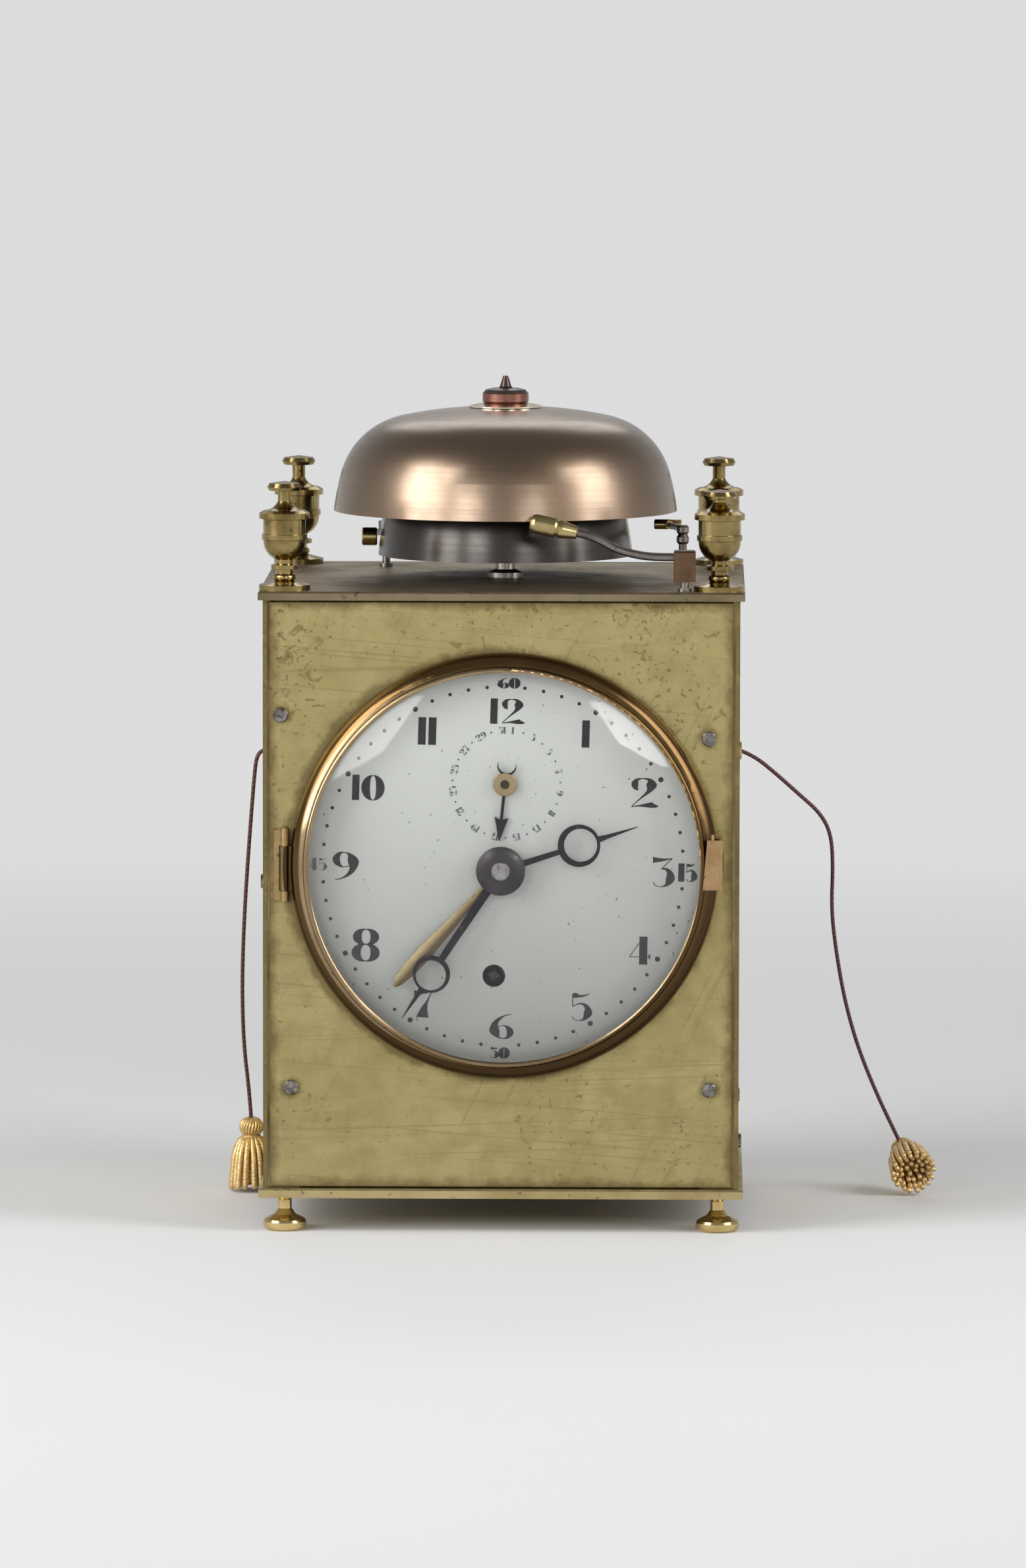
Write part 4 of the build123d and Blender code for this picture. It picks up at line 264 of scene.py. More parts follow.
# turn in degrees, and fineness along each axis, of the scratches on a panel
SCRATCH_WAYS = ((2.0, (8.0, 8.0, 1300.0)), (-5.0, (12.0, 12.0, 1500.0)), (63.0, (18.0, 18.0, 1100.0)))


def panel_brass(node):
    """Matt greenish brass sheet: darker along its edges and round its screws, painted shade round the foot
    of the bezel, brown specks, rubbed patches and fine scratches.
    """
    graph = Graph("brass_" + node)
    low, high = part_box(node)
    sizes = [high[axis] - low[axis] for axis in range(3)]
    thin = sizes.index(min(sizes))
    places = graph.axes()
    gaps = []
    for axis in range(3):
        if axis != thin:
            gaps.append(graph.math("SUBTRACT", places[axis], low[axis]))
            gaps.append(graph.math("SUBTRACT", high[axis], places[axis]))
    wander = graph.math("MULTIPLY", graph.math("SUBTRACT", graph.noise(160.0, 4.0, 0.6), 0.5), 0.006)
    # darker towards the edges of the sheet
    dark_rims_and_painted_shade = graph.range(graph.math("ADD", graph.smallest(gaps), wander), 0.0002, 0.0030, 1.0, 0.0)
    if node == "front_panel":
        flat = graph.node("CombineXYZ", {0: places[0], 1: 0.0, 2: places[2]}).outputs[0]
        near, far = [value * MM for value in SCREW_RING]
        for x, z in PANEL_SCREWS:
            inputs = {0: flat, 1: (x * MM, 0.0, z * MM)}
            reach = graph.node("VectorMath", inputs, operation="DISTANCE").outputs["Value"]
            ring = graph.range(graph.math("ADD", reach, wander), near, far, 0.9, 0.0)
            dark_rims_and_painted_shade = graph.math("MAXIMUM", dark_rims_and_painted_shade, ring)
        # painted shade: a dark ring on the panel round the foot of the bezel
        reach, _ = graph.round_axis(middle("bezel_ring"), 1)
        near, far = BEZEL_RADIUS * MM, (BEZEL_RADIUS + BEZEL_RING) * MM
        ring = graph.range(graph.math("ADD", reach, wander), near, far, 0.8, 0.0)
        dark_rims_and_painted_shade = graph.math("MAXIMUM", dark_rims_and_painted_shade, ring)
    clouds = graph.noise(38.0, 5.0, 0.6, distortion=0.4)
    base = graph.mix(graph.range(clouds, 0.36, 0.66), colour(0.445, 0.375, 0.172), colour(0.365, 0.30, 0.13))
    rubbed = graph.noise(1.0, 4.0, 0.65, place=graph.stretched((12.0, 12.0, 160.0), (0.0, 9.0, 0.0)))
    base = graph.mix(graph.range(rubbed, 0.52, 0.72, 0.0, 0.35), base, colour(0.50, 0.43, 0.22))
    mottle = graph.noise(140.0, 4.0, 0.65)
    base = graph.mix(graph.range(mottle, 0.42, 0.68, 0.0, 0.45), base, colour(0.27, 0.215, 0.09))
    upward = graph.range(places[2], 0.03, 0.175, 0.715, 0.64)
    patches = graph.noise(24.0, 2.0, 0.5)
    denser = graph.math("SUBTRACT", upward, graph.range(patches, 0.42, 0.68, 0.0, 0.10))
    blots = graph.math("SUBTRACT", graph.noise(260.0, 4.0, 0.6, distortion=0.8), denser)
    base = graph.mix(graph.range(blots, 0.0, 0.07, 0.0, 0.6), base, colour(0.17, 0.12, 0.045))
    pits = graph.math("SUBTRACT", graph.noise(700.0, 2.0, 0.5), graph.math("ADD", denser, 0.04))
    base = graph.mix(graph.range(pits, 0.0, 0.03, 0.0, 0.6), base, colour(0.15, 0.105, 0.045))
    # darker along the edges and round the screws, with painted shade round the bezel
    base = graph.mix(graph.math("MULTIPLY", dark_rims_and_painted_shade, 0.75), base, colour(0.12, 0.085, 0.035))
    scratches = []
    for turn, scale in SCRATCH_WAYS:
        lines = graph.noise(1.0, 1.0, 0.4, place=graph.stretched(scale, (0.0, turn, 0.0)))
        scratches.append(graph.range(lines, 0.66, 0.74))
    scratch = graph.math("MAXIMUM", scratches[0], graph.math("MAXIMUM", scratches[1], scratches[2]))
    base = graph.mix(graph.math("MULTIPLY", scratch, 0.35), base, colour(0.24, 0.185, 0.08))
    rough = graph.range(graph.math("ADD", clouds, dark_rims_and_painted_shade), 0.35, 1.2, 0.40, 0.60)
    grain = graph.noise(1.0, 3.0, 0.6, place=graph.stretched((180.0, 180.0, 1800.0)))
    height = graph.math("SUBTRACT", grain, graph.math("MULTIPLY", scratch, 0.8))
    return graph.surface(principled(graph, base, 1.0, rough, graph.bump(height, 0.000012, 0.5)))


# radii at which the bezel's bead, its flank and its hinge knuckle start, and the width of each change
BEZEL_BEAD, BEZEL_FLANK, BEZEL_KNUCKLE = (54.5, 0.4), (56.6, 1.0), (59.0, 0.4)


def bezel_brass():
    """Turned bezel: pale worn bead round the glass, brown flanks with painted shade low down, paler hinge
    knuckle.
    """
    graph = Graph("bezel_brass_turned")
    low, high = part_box("bezel_ring")
    radius, along = graph.round_axis(middle("bezel_ring"), 1)
    rings = graph.node("CombineXYZ", {0: radius, 1: along, 2: 0.0}).outputs[0]
    lathe = graph.noise(2500.0, 2.0, 0.6, place=rings)
    base, clouds = worn(
        graph, colour(0.42, 0.31, 0.18), colour(0.28, 0.19, 0.10), colour(0.10, 0.06, 0.03), 60.0
    )

    def beyond(change, low_share=0.0):
        start, width = change
        return graph.range(radius, start * MM, (start + width) * MM, low_share, 1.0)

    base = graph.mix(beyond(BEZEL_BEAD), base, colour(0.19, 0.115, 0.045))
    base = graph.mix(beyond(BEZEL_FLANK), base, colour(0.12, 0.07, 0.03))
    # painted shade: darker towards the bottom of the bezel, less of it on the bead
    low_painted_shade = graph.range(graph.axes()[2], low[2], high[2], 0.80, 0.0)
    low_painted_shade = graph.math("MULTIPLY", low_painted_shade, beyond(BEZEL_BEAD, 0.35))
    base = graph.mix(low_painted_shade, base, colour(0.030, 0.018, 0.009))
    base = graph.mix(beyond(BEZEL_KNUCKLE), base, colour(0.36, 0.26, 0.125))
    rough = graph.range(clouds, 0.35, 0.7, 0.14, 0.30)
    return graph.surface(principled(graph, base, 1.0, rough, graph.bump(lathe, 0.000010, 0.5)))


def enamel():
    """White fired enamel: slightly wavy, faintly clouded, greyer towards its foot from painted shade, with a
    few pinholes.
    """
    graph = Graph("enamel_white")
    clouds = graph.noise(26.0, 3.0, 0.5)
    base = graph.mix(graph.range(clouds, 0.35, 0.7), colour(0.64, 0.635, 0.615), colour(0.585, 0.58, 0.56))
    low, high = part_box("dial")
    # painted shade: greyer towards the foot of the dial
    painted_foot_shade = graph.range(graph.axes()[2], low[2], high[2], 0.85, 0.0)
    base = graph.mix(painted_foot_shade, base, colour(0.22, 0.218, 0.208))
    pin = graph.range(graph.noise(900.0, 1.0, 0.4), 0.765, 0.785)
    base = graph.mix(graph.math("MULTIPLY", pin, 0.8), base, colour(0.10, 0.09, 0.08))
    normal = graph.bump(graph.noise(60.0, 2.0, 0.5), 0.00006, 0.4)
    rough = graph.range(clouds, 0.3, 0.7, 0.16, 0.24)
    extra = {"Coat Weight": 0.3, "Coat Roughness": 0.06}
    return graph.surface(principled(graph, base, 0.0, rough, normal, **extra))


def enamel_paint(name, thick, thin):
    """Painted enamel figures, a little thin in places."""
    graph = Graph(name)
    share = graph.range(graph.noise(700.0, 3.0, 0.6), 0.35, 0.75)
    base = graph.mix(share, thick, thin)
    return graph.surface(principled(graph, base, 0.0, graph.range(share, 0.0, 1.0, 0.18, 0.3)))


def clear_glass():
    """Thin clear glass: each face throws back a little of the light, and more towards its edge."""
    graph = Graph("glass_clear")
    smear = graph.range(graph.noise(30.0, 4.0, 0.6, distortion=1.0), 0.4, 0.75, 0.04, 0.09)
    shine = graph.node("BsdfGlossy", {"Color": colour(1.0, 1.0, 1.0), "Roughness": smear}).outputs[0]
    clear = graph.node("BsdfTransparent", {"Color": colour(0.975, 0.985, 0.98)}).outputs[0]
    facing = graph.node("LayerWeight", {"Blend": 0.5}).outputs["Facing"]
    rising = graph.math("MULTIPLY", graph.math("POWER", facing, 5.0), 0.9)
    share = graph.math("ADD", rising, 0.022)
    both = graph.node("MixShader", {0: share, 1: clear, 2: shine}).outputs[0]
    return graph.surface(both)


def silk(name, deep, light, twist_scale):
    """Twisted silk: slanting plies, darker between them, with a soft sheen."""
    graph = Graph(name)
    inputs = {
        "Vector": graph.stretched((1.0, 1.0, 1.0), (0.0, 35.0, 20.0)),
        "Scale": twist_scale,
        "Distortion": 1.5,
        "Detail": 2.0,
    }
    plies = graph.node("TexWave", inputs, bands_direction="Z").outputs["Fac"]
    fibre = graph.noise(2600.0, 2.0, 0.6)
    base = graph.mix(graph.math("MULTIPLY", plies, graph.range(fibre, 0.3, 0.7, 0.6, 1.0)), deep, light)
    extra = {"Sheen Weight": 0.35, "Sheen Roughness": 0.4}
    return graph.surface(principled(graph, base, 0.0, 0.55, graph.bump(plies, 0.00012, 0.7), **extra))


def gilt_thread():
    """Gilt metal thread wound on silk."""
    graph = Graph("tassel_gilt")
    wound = graph.noise(1.0, 2.0, 0.6, place=graph.stretched((900.0, 900.0, 2600.0)))
    clouds = graph.noise(150.0, 3.0, 0.6)
    base = graph.mix(graph.range(wound, 0.35, 0.65), colour(0.88, 0.66, 0.33), colour(0.50, 0.31, 0.11))
    base = graph.mix(graph.range(clouds, 0.5, 0.72, 0.0, 0.5), base, colour(0.50, 0.35, 0.18))
    rough = graph.range(clouds, 0.3, 0.7, 0.32, 0.5)
    return graph.surface(principled(graph, base, 0.65, rough, graph.bump(wound, 0.00008, 0.8)))


HAND_CENTRE = (0.0, 100.2)
ALARM_HAND_WAY = (-0.677, -0.736)
# across the rod, where the hand turns from painted shade to painted light
ALARM_HAND_EDGES = (-0.6, 1.2)  # across the rod, where it turns from brown to bright
DATE_DIMPLE, DATE_DIMPLE_EDGE = 1.1, 1.4


def alarm_hand_brass():
    """Old brass rod of a hand, with painted light along its upper edge and painted shade along its lower
    edge.
    """
    graph = Graph("alarm_hand_brass")
    x, _, z = graph.axes()
    across = graph.math("MULTIPLY", graph.math("SUBTRACT", x, HAND_CENTRE[0] * MM), ALARM_HAND_WAY[1])
    rising = graph.math("MULTIPLY", graph.math("SUBTRACT", z, HAND_CENTRE[1] * MM), ALARM_HAND_WAY[0])
    side = graph.math("SUBTRACT", across, rising)
    lit, clouds = worn(
        graph, colour(0.72, 0.56, 0.31), colour(0.56, 0.41, 0.20), colour(0.25, 0.16, 0.08), 160.0
    )
    low_edge, high_edge = [value * MM for value in ALARM_HAND_EDGES]
    # painted shade along the lower edge, painted light along the upper edge
    base = graph.mix(graph.range(side, low_edge, high_edge), colour(0.15, 0.095, 0.05), lit)
    return metal(graph, base, clouds, 0.2, 0.38)


def date_wheel_brass():
    """Old brass with a dark dimple in the middle of the date hand's disc."""
    graph = Graph("date_wheel_brass")
    radius, _ = graph.round_axis(middle("date_wheel"), 1)
    rim, clouds = worn(
        graph, colour(0.50, 0.37, 0.20), colour(0.36, 0.25, 0.13), colour(0.12, 0.08, 0.04), 160.0
    )
    outside = graph.range(radius, DATE_DIMPLE * MM, DATE_DIMPLE_EDGE * MM)
    base = graph.mix(outside, colour(0.05, 0.035, 0.02), rim)
    return metal(graph, base, clouds, 0.22, 0.4)


def banded_metal(name, node, bands, gloss, dullness):
    """Worn metal whose colour changes with height; a band is a share of the node's height and a colour."""
    graph = Graph(name)
    low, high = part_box(node)
    height = graph.range(graph.axes()[2], low[2], high[2])
    base = bands[0][1]
    for share, tint in bands[1:]:
        base = graph.mix(graph.range(height, share - 0.04, share + 0.04), base, tint)
    clouds = graph.noise(160.0, 4.0, 0.6)
    stained = graph.mix(graph.range(clouds, 0.45, 0.75, 0.0, 0.45), base, colour(0.06, 0.04, 0.035))
    return metal(graph, stained, clouds, gloss, dullness)


looks = {
    # browned brass, darker than the case brass, with painted shade of the plate under the bells
    "top": aged_metal(
        "top_brass_browned_shaded",
        colour(0.25, 0.20, 0.125), colour(0.155, 0.12, 0.07), colour(0.08, 0.055, 0.03), 0.36, 0.6,
    ),
    "case": aged_metal(
        "case_brass_aged",
        colour(0.52, 0.43, 0.22), colour(0.33, 0.25, 0.11), colour(0.10, 0.07, 0.03), 0.32, 0.55,
    ),
    "polished": aged_metal(
        "polished_brass_old",
        colour(0.70, 0.55, 0.26), colour(0.46, 0.33, 0.13), colour(0.16, 0.10, 0.035),
        0.12, 0.28, cloud=110.0, depth=0.000008, spots=0.70,
    ),
    "finial": aged_metal(
        "finial_brass_olive",
        colour(0.38, 0.29, 0.12), colour(0.19, 0.135, 0.05), colour(0.07, 0.045, 0.02),
        0.10, 0.26, cloud=130.0, depth=0.000008, spots=0.66,
    ),
    "movement": aged_metal(
        "movement_brass_plain",
        colour(0.74, 0.58, 0.27), colour(0.55, 0.41, 0.17), colour(0.25, 0.16, 0.06), 0.24, 0.4,
    ),
    "bezel": bezel_brass(),
    "hinge": aged_metal(
        "hinge_brass_browned",
        colour(0.44, 0.315, 0.15), colour(0.30, 0.20, 0.09), colour(0.09, 0.055, 0.028), 0.26, 0.45,
        cloud=200.0,
    ),
    "outer_bell": turned_metal(
        "bell_bronze_turned",
        colour(0.285, 0.205, 0.142), colour(0.195, 0.132, 0.084), 0.26, 0.38, "outer_bell", 2,
        0.0005, 0.000004,
    ),
    # steel painted near black: painted shade of the outer bell over the inner bell
    "inner_bell": turned_metal(
        "bell_steel_painted_shade",
        colour(0.060, 0.052, 0.045), colour(0.034, 0.028, 0.024), 0.20, 0.36, "inner_bell", 2,
        0.0006, 0.000005,
    ),
    "washer": aged_metal(
        "washer_brass_bright",
        colour(0.78, 0.70, 0.55), colour(0.60, 0.50, 0.34), colour(0.2, 0.13, 0.07), 0.14, 0.28,
        cloud=130.0,
    ),
    "nut": banded_metal(
        "nut_copper_red",
        "bell_nut", ((0.0, colour(0.27, 0.125, 0.09)), (0.72, colour(0.17, 0.145, 0.125))), 0.2, 0.4,
    ),
    "post": banded_metal(
        "bell_post_steel",
        "bell_post",
        ((0.0, colour(0.50, 0.46, 0.42)), (0.72, colour(0.09, 0.06, 0.055))), 0.2, 0.4,
    ),
    "strike_head": banded_metal(
        "strike_head_brass",
        "strike_hammer_head",
        ((0.0, colour(0.50, 0.40, 0.185)), (0.95, colour(0.44, 0.345, 0.155))), 0.2, 0.34,
    ),
    "hammer_block": aged_metal(
        "hammer_block_copper",
        colour(0.17, 0.10, 0.06), colour(0.085, 0.05, 0.03), colour(0.07, 0.04, 0.03), 0.25, 0.45,
        cloud=160.0,
    ),
    "steel": aged_metal(
        "steel_worn",
        colour(0.26, 0.235, 0.215), colour(0.12, 0.10, 0.085), colour(0.06, 0.04, 0.03), 0.22, 0.42,
        cloud=150.0,
    ),
    "screw": aged_metal(
        "screw_steel_browned",
        colour(0.36, 0.34, 0.32), colour(0.050, 0.042, 0.036), colour(0.02, 0.015, 0.012), 0.14, 0.34,
        cloud=400.0,
    ),
    "hand_screw": aged_metal(
        "hand_screw_steel",
        colour(0.46, 0.43, 0.44), colour(0.30, 0.27, 0.28), colour(0.06, 0.05, 0.05), 0.2, 0.35,
        cloud=400.0,
    ),
    "blued": aged_metal(
        "steel_blued",
        colour(0.014, 0.014, 0.018), colour(0.030, 0.026, 0.028), colour(0.11, 0.07, 0.05), 0.2, 0.36,
        cloud=120.0,
    ),
    "hub": aged_metal(
        "steel_hub",
        colour(0.080, 0.068, 0.076), colour(0.042, 0.035, 0.040), colour(0.04, 0.03, 0.03), 0.24, 0.4,
        cloud=150.0,
    ),
    "arbor": aged_metal(
        "arbor_steel_dark",
        colour(0.06, 0.055, 0.052), colour(0.025, 0.022, 0.02), colour(0.03, 0.02, 0.02), 0.25, 0.45,
        cloud=200.0,
    ),
    "alarm_hand": alarm_hand_brass(),
    "date_wheel": date_wheel_brass(),
    "enamel": enamel(),
    "glass": clear_glass(),
    "catch": aged_metal(
        "catch_brass",
        colour(0.52, 0.335, 0.175), colour(0.34, 0.205, 0.10), colour(0.16, 0.09, 0.05), 0.22, 0.4,
        cloud=130.0,
    ),
}
for node in ("front_panel", "left_side_panel", "right_side_panel", "rear_door"):
    looks[node] = panel_brass(node)
dressing = {
    "top": ("top_plate",),
    "polished": ("feet", "door_latch", "alarm_hammer_head", "repeat_hammer_head", "cord_eyelets"),
    "finial": ("finials",),
    "bezel": ("bezel_ring",),
    "hinge": ("bezel_hinge_leaf", "bezel_hinge_pin"),
    "case": ("base_plate", "corner_posts"),
    "nut": ("bell_nut",),
    "washer": ("bell_washer",),
    "post": ("bell_post",),
    "strike_head": ("strike_hammer_head",),
    "hammer_block": ("strike_hammer_hub",),
    "screw": ("case_screws",),
    "hand_screw": ("hand_screw",),
    "hub": ("hand_collet",),
    "arbor": ("winding_arbor",),
    "catch": ("bezel_catch",),
    "glass": ("bezel_glass",),
    "enamel": ("dial",),
}
slot_looks = {"steel": "steel", "blued_steel": "blued"}
look_of = {name: name for name in looks if name in nodes}
for look_name, names in dressing.items():
    for name in names:
        look_of[name] = look_name
slot_of = {part["node"]: part["material_slot"] for part in frame["record"]["subparts"]}
for name, piece in nodes.items():
    usual = slot_looks.get(slot_of.get(name, ""), "movement")
    for material_slot in piece.material_slots:
        material_slot.material = looks[look_of.get(name, usual)]

# ---- cords ---------------------------------------------------------------------------------------------
CORD_DIAMETER = 0.0011
cord_routes = {
    "left": (
        (-65.4, 10.85, 127.0),
        (-67.7, 10.85, 126.9),
        (-69.4, 11.0, 125.0),
        (-70.0, 11.5, 120.8),
        (-70.7, 12.8, 113.0),
        (-71.9, 15.8, 99.0),
        (-73.3, 19.3, 80.0),
        (-74.2, 23.3, 60.0),
        (-73.9, 26.8, 42.0),
        (-72.4, 29.4, 28.0),
        (-71.9, 30.0, 20.0),
    ),
    "right": (
        (65.4, 10.85, 127.0),
        (69.2, 11.0, 125.6),
        (75.5, 11.8, 120.4),
        (82.3, 13.2, 114.2),
        (87.8, 14.8, 109.2),
        (90.9, 16.4, 103.2),
        (91.5, 18.4, 94.0),
        (91.1, 20.8, 81.5),
        (92.6, 23.4, 69.0),
        (95.0, 26.4, 55.5),
        (98.7, 29.8, 42.0),
        (104.0, 33.8, 28.5),
        (109.3, 37.6, 17.0),
        (112.0, 39.4, 11.4),
    ),
}
tassel_ways = {
    "left": (Vector((0.0, 0.0, -1.0)), Vector((1.0, 0.0, 0.0)), 1.0),
    "right": (Vector((0.150, -0.955, -0.255)), Vector((0.988, 0.155, 0.0)), 2.7),
}
cord_silk = silk("cord_silk", colour(0.030, 0.007, 0.009), colour(0.13, 0.036, 0.038), 260.0)
gilt = gilt_thread()


def silk_cord(side):
    """Twisted cord along its route, as one smooth curve."""
    curve = bpy.data.curves.new(side + "_silk_cord", "CURVE")
    curve.dimensions = "3D"
    spline = curve.splines.new("NURBS")
    points = cord_routes[side]
    spline.points.add(len(points) - 1)
    for point, place in zip(spline.points, points):
        point.co = (place[0] * MM, place[1] * MM, place[2] * MM, 1.0)
    spline.order_u = 3
    spline.use_endpoint_u = True
    spline.resolution_u = 10
    curve.bevel_depth = CORD_DIAMETER / 2
    curve.bevel_resolution = 4
    curve.use_fill_caps = True
    curve.materials.append(cord_silk)
    piece = bpy.data.objects.new(side + "_silk_cord", curve)
    scene.collection.objects.link(piece)
    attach(piece, "case")
    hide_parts(side + "_cord")
    return piece


def tube(corners, faces, points, radii, sides):
    """Add to corners and faces a round tube along points, with a radius at each and closed ends."""
    first = len(corners)
    count = len(points)
    for index, (point, radius) in enumerate(zip(points, radii)):
        ahead = points[min(index + 1, count - 1)] - points[max(index - 1, 0)]
        along = ahead.normalized()
        side = along.cross(Vector((0.3, 0.9, 0.2))).normalized()
        other = along.cross(side)
        for step in range(sides):
            turn = 2 * math.pi * step / sides
            corners.append(point + side * (radius * math.cos(turn)) + other * (radius * math.sin(turn)))
    join_rings(faces, first, count, sides)
    close_ends(faces, first, count, sides)


def join_rings(faces, first, count, sides):
    """Add the faces between rings of corners that follow one another."""
    for index in range(count - 1):
        here = first + index * sides
        for step in range(sides):
            following = (step + 1) % sides
            faces.append((here + step, here + following, here + sides + following, here + sides + step))


def close_ends(faces, first, count, sides):
    """Add the faces over the first and the last ring of corners."""
    faces.append(tuple(reversed(range(first, first + sides))))
    faces.append(tuple(range(first + (count - 1) * sides, first + count * sides)))


TASSEL_LENGTH = 20.8
HEAD_RADIUS, HEAD_HALF_HEIGHT, HEAD_THREAD = 3.5, 2.75, 0.42
HEAD_THREADS, HEAD_SLANT = 22, 0.5
BINDING_RADIUS, BINDING_THREAD, BINDING_DEPTHS = 2.35, 0.32, (5.25, 5.75)
# radius and depth of the core inside the head and skirt
CORE = (
    (0.3, 0.2),
    (1.6, 0.4),
    (2.6, 1.4),
    (3.0, 2.75),
    (2.6, 4.1),
    (1.9, 5.2),
    (2.2, 6.6),
    (3.0, 9.0),
    (3.0, 14.0),
)
CORE_SIDES = 20
# depth and radius of the skirt
SKIRT = ((5.5, 2.4), (6.2, 3.7), (8.5, 4.95), (11.2, 5.7), (16.6, 6.25), (20.8, 6.6))
# threads, share of the full width, thread radius and how much shorter they are
SKIRT_LAYERS = ((18, 1.0, 0.80, 0.0), (16, 0.80, 0.75, 1.2), (11, 0.55, 0.75, 2.6), (5, 0.26, 0.75, 3.2))
FLOOR_GAP = 0.12


def tassel_piece(side):
    """Gilt tassel: a bun-shaped head of slanting threads and a skirt of thick hanging bullion threads."""
    along, across, sink = tassel_ways[side]
    along, across = along.normalized(), across.normalized()
    third = along.cross(across)
    top = Vector(cord_routes[side][-1]) - along * sink
    chance = random.Random(7 if side == "left" else 11)
    corners, faces = [], []

    def spot(radius, turn, depth):
        return top + along * depth + (across * math.cos(turn) + third * math.sin(turn)) * radius

    # threads of the head
    for thread in range(HEAD_THREADS):
        turn = 2 * math.pi * thread / HEAD_THREADS
        line, radii = [], []
        for step in range(11):
            share = step / 10
            angle = math.pi * (0.10 + 0.80 * share)
            reach = (HEAD_RADIUS - HEAD_THREAD) * math.sin(angle)
            line.append(spot(reach, turn + HEAD_SLANT * share, HEAD_HALF_HEIGHT * (1 - math.cos(angle))))
            radii.append(HEAD_THREAD * (0.35 + 0.65 * math.sin(angle)))
        tube(corners, faces, line, radii, 6)
    # core of the head and skirt
    first = len(corners)
    for radius, depth in CORE:
        for step in range(CORE_SIDES):
            corners.append(spot(radius, 2 * math.pi * step / CORE_SIDES, depth))
    join_rings(faces, first, len(CORE), CORE_SIDES)
    close_ends(faces, first, len(CORE), CORE_SIDES)
    # binding between head and skirt
    for depth in BINDING_DEPTHS:
        line = [spot(BINDING_RADIUS, 2 * math.pi * step / 24, depth) for step in range(25)]
        tube(corners, faces, line, [BINDING_THREAD] * len(line), 6)
    # skirt
    for layer, (count, share_out, thick, shorter) in enumerate(SKIRT_LAYERS):
        for strand in range(count):
            turn = 2 * math.pi * (strand + 0.25 * chance.random()) / count + 0.15 * layer
            length = TASSEL_LENGTH - 0.5 - shorter - 1.2 * chance.random()
            stretch = length / TASSEL_LENGTH
            sway = 0.16 * (chance.random() - 0.5)
            line, radii = [], []
            stations = smooth_line(SKIRT, 3)
            for index, (depth, reach) in enumerate(stations):
                share = index / (len(stations) - 1)
                spread = max(0.3, (reach - thick) * share_out)
                line.append(spot(spread, turn + sway * share, SKIRT[0][0] + (depth - SKIRT[0][0]) * stretch))
                radii.append(thick * (0.60 + 0.40 * min(1.0, 3 * share)) * (0.8 if share == 1.0 else 1.0))
            tube(corners, faces, line, radii, 8)
    placed = [Vector((corner.x, corner.y, max(corner.z, FLOOR_GAP))) * MM for corner in corners]
    piece = mesh_object(side + "_gilt_tassel", placed, faces, gilt)
    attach(piece, "case")
    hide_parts(side + "_tassel")
    return piece


for side in ("left", "right"):
    strand = silk_cord(side)
    tassel = tassel_piece(side)

# ---- figures on the dial -------------------------------------------------------------------------------
DIAL_RADIUS, DIAL_CROWN = 54.5, 2.0
DIAL_EDGE_Y = -51.35  # front of the dial at its edge
DIAL_SPHERE = (DIAL_RADIUS**2 + DIAL_CROWN**2) / (2 * DIAL_CROWN)
DIAL_TURN = math.radians(-0.9)
PAINT_LIFT = 0.035  # of the painted figures over the enamel

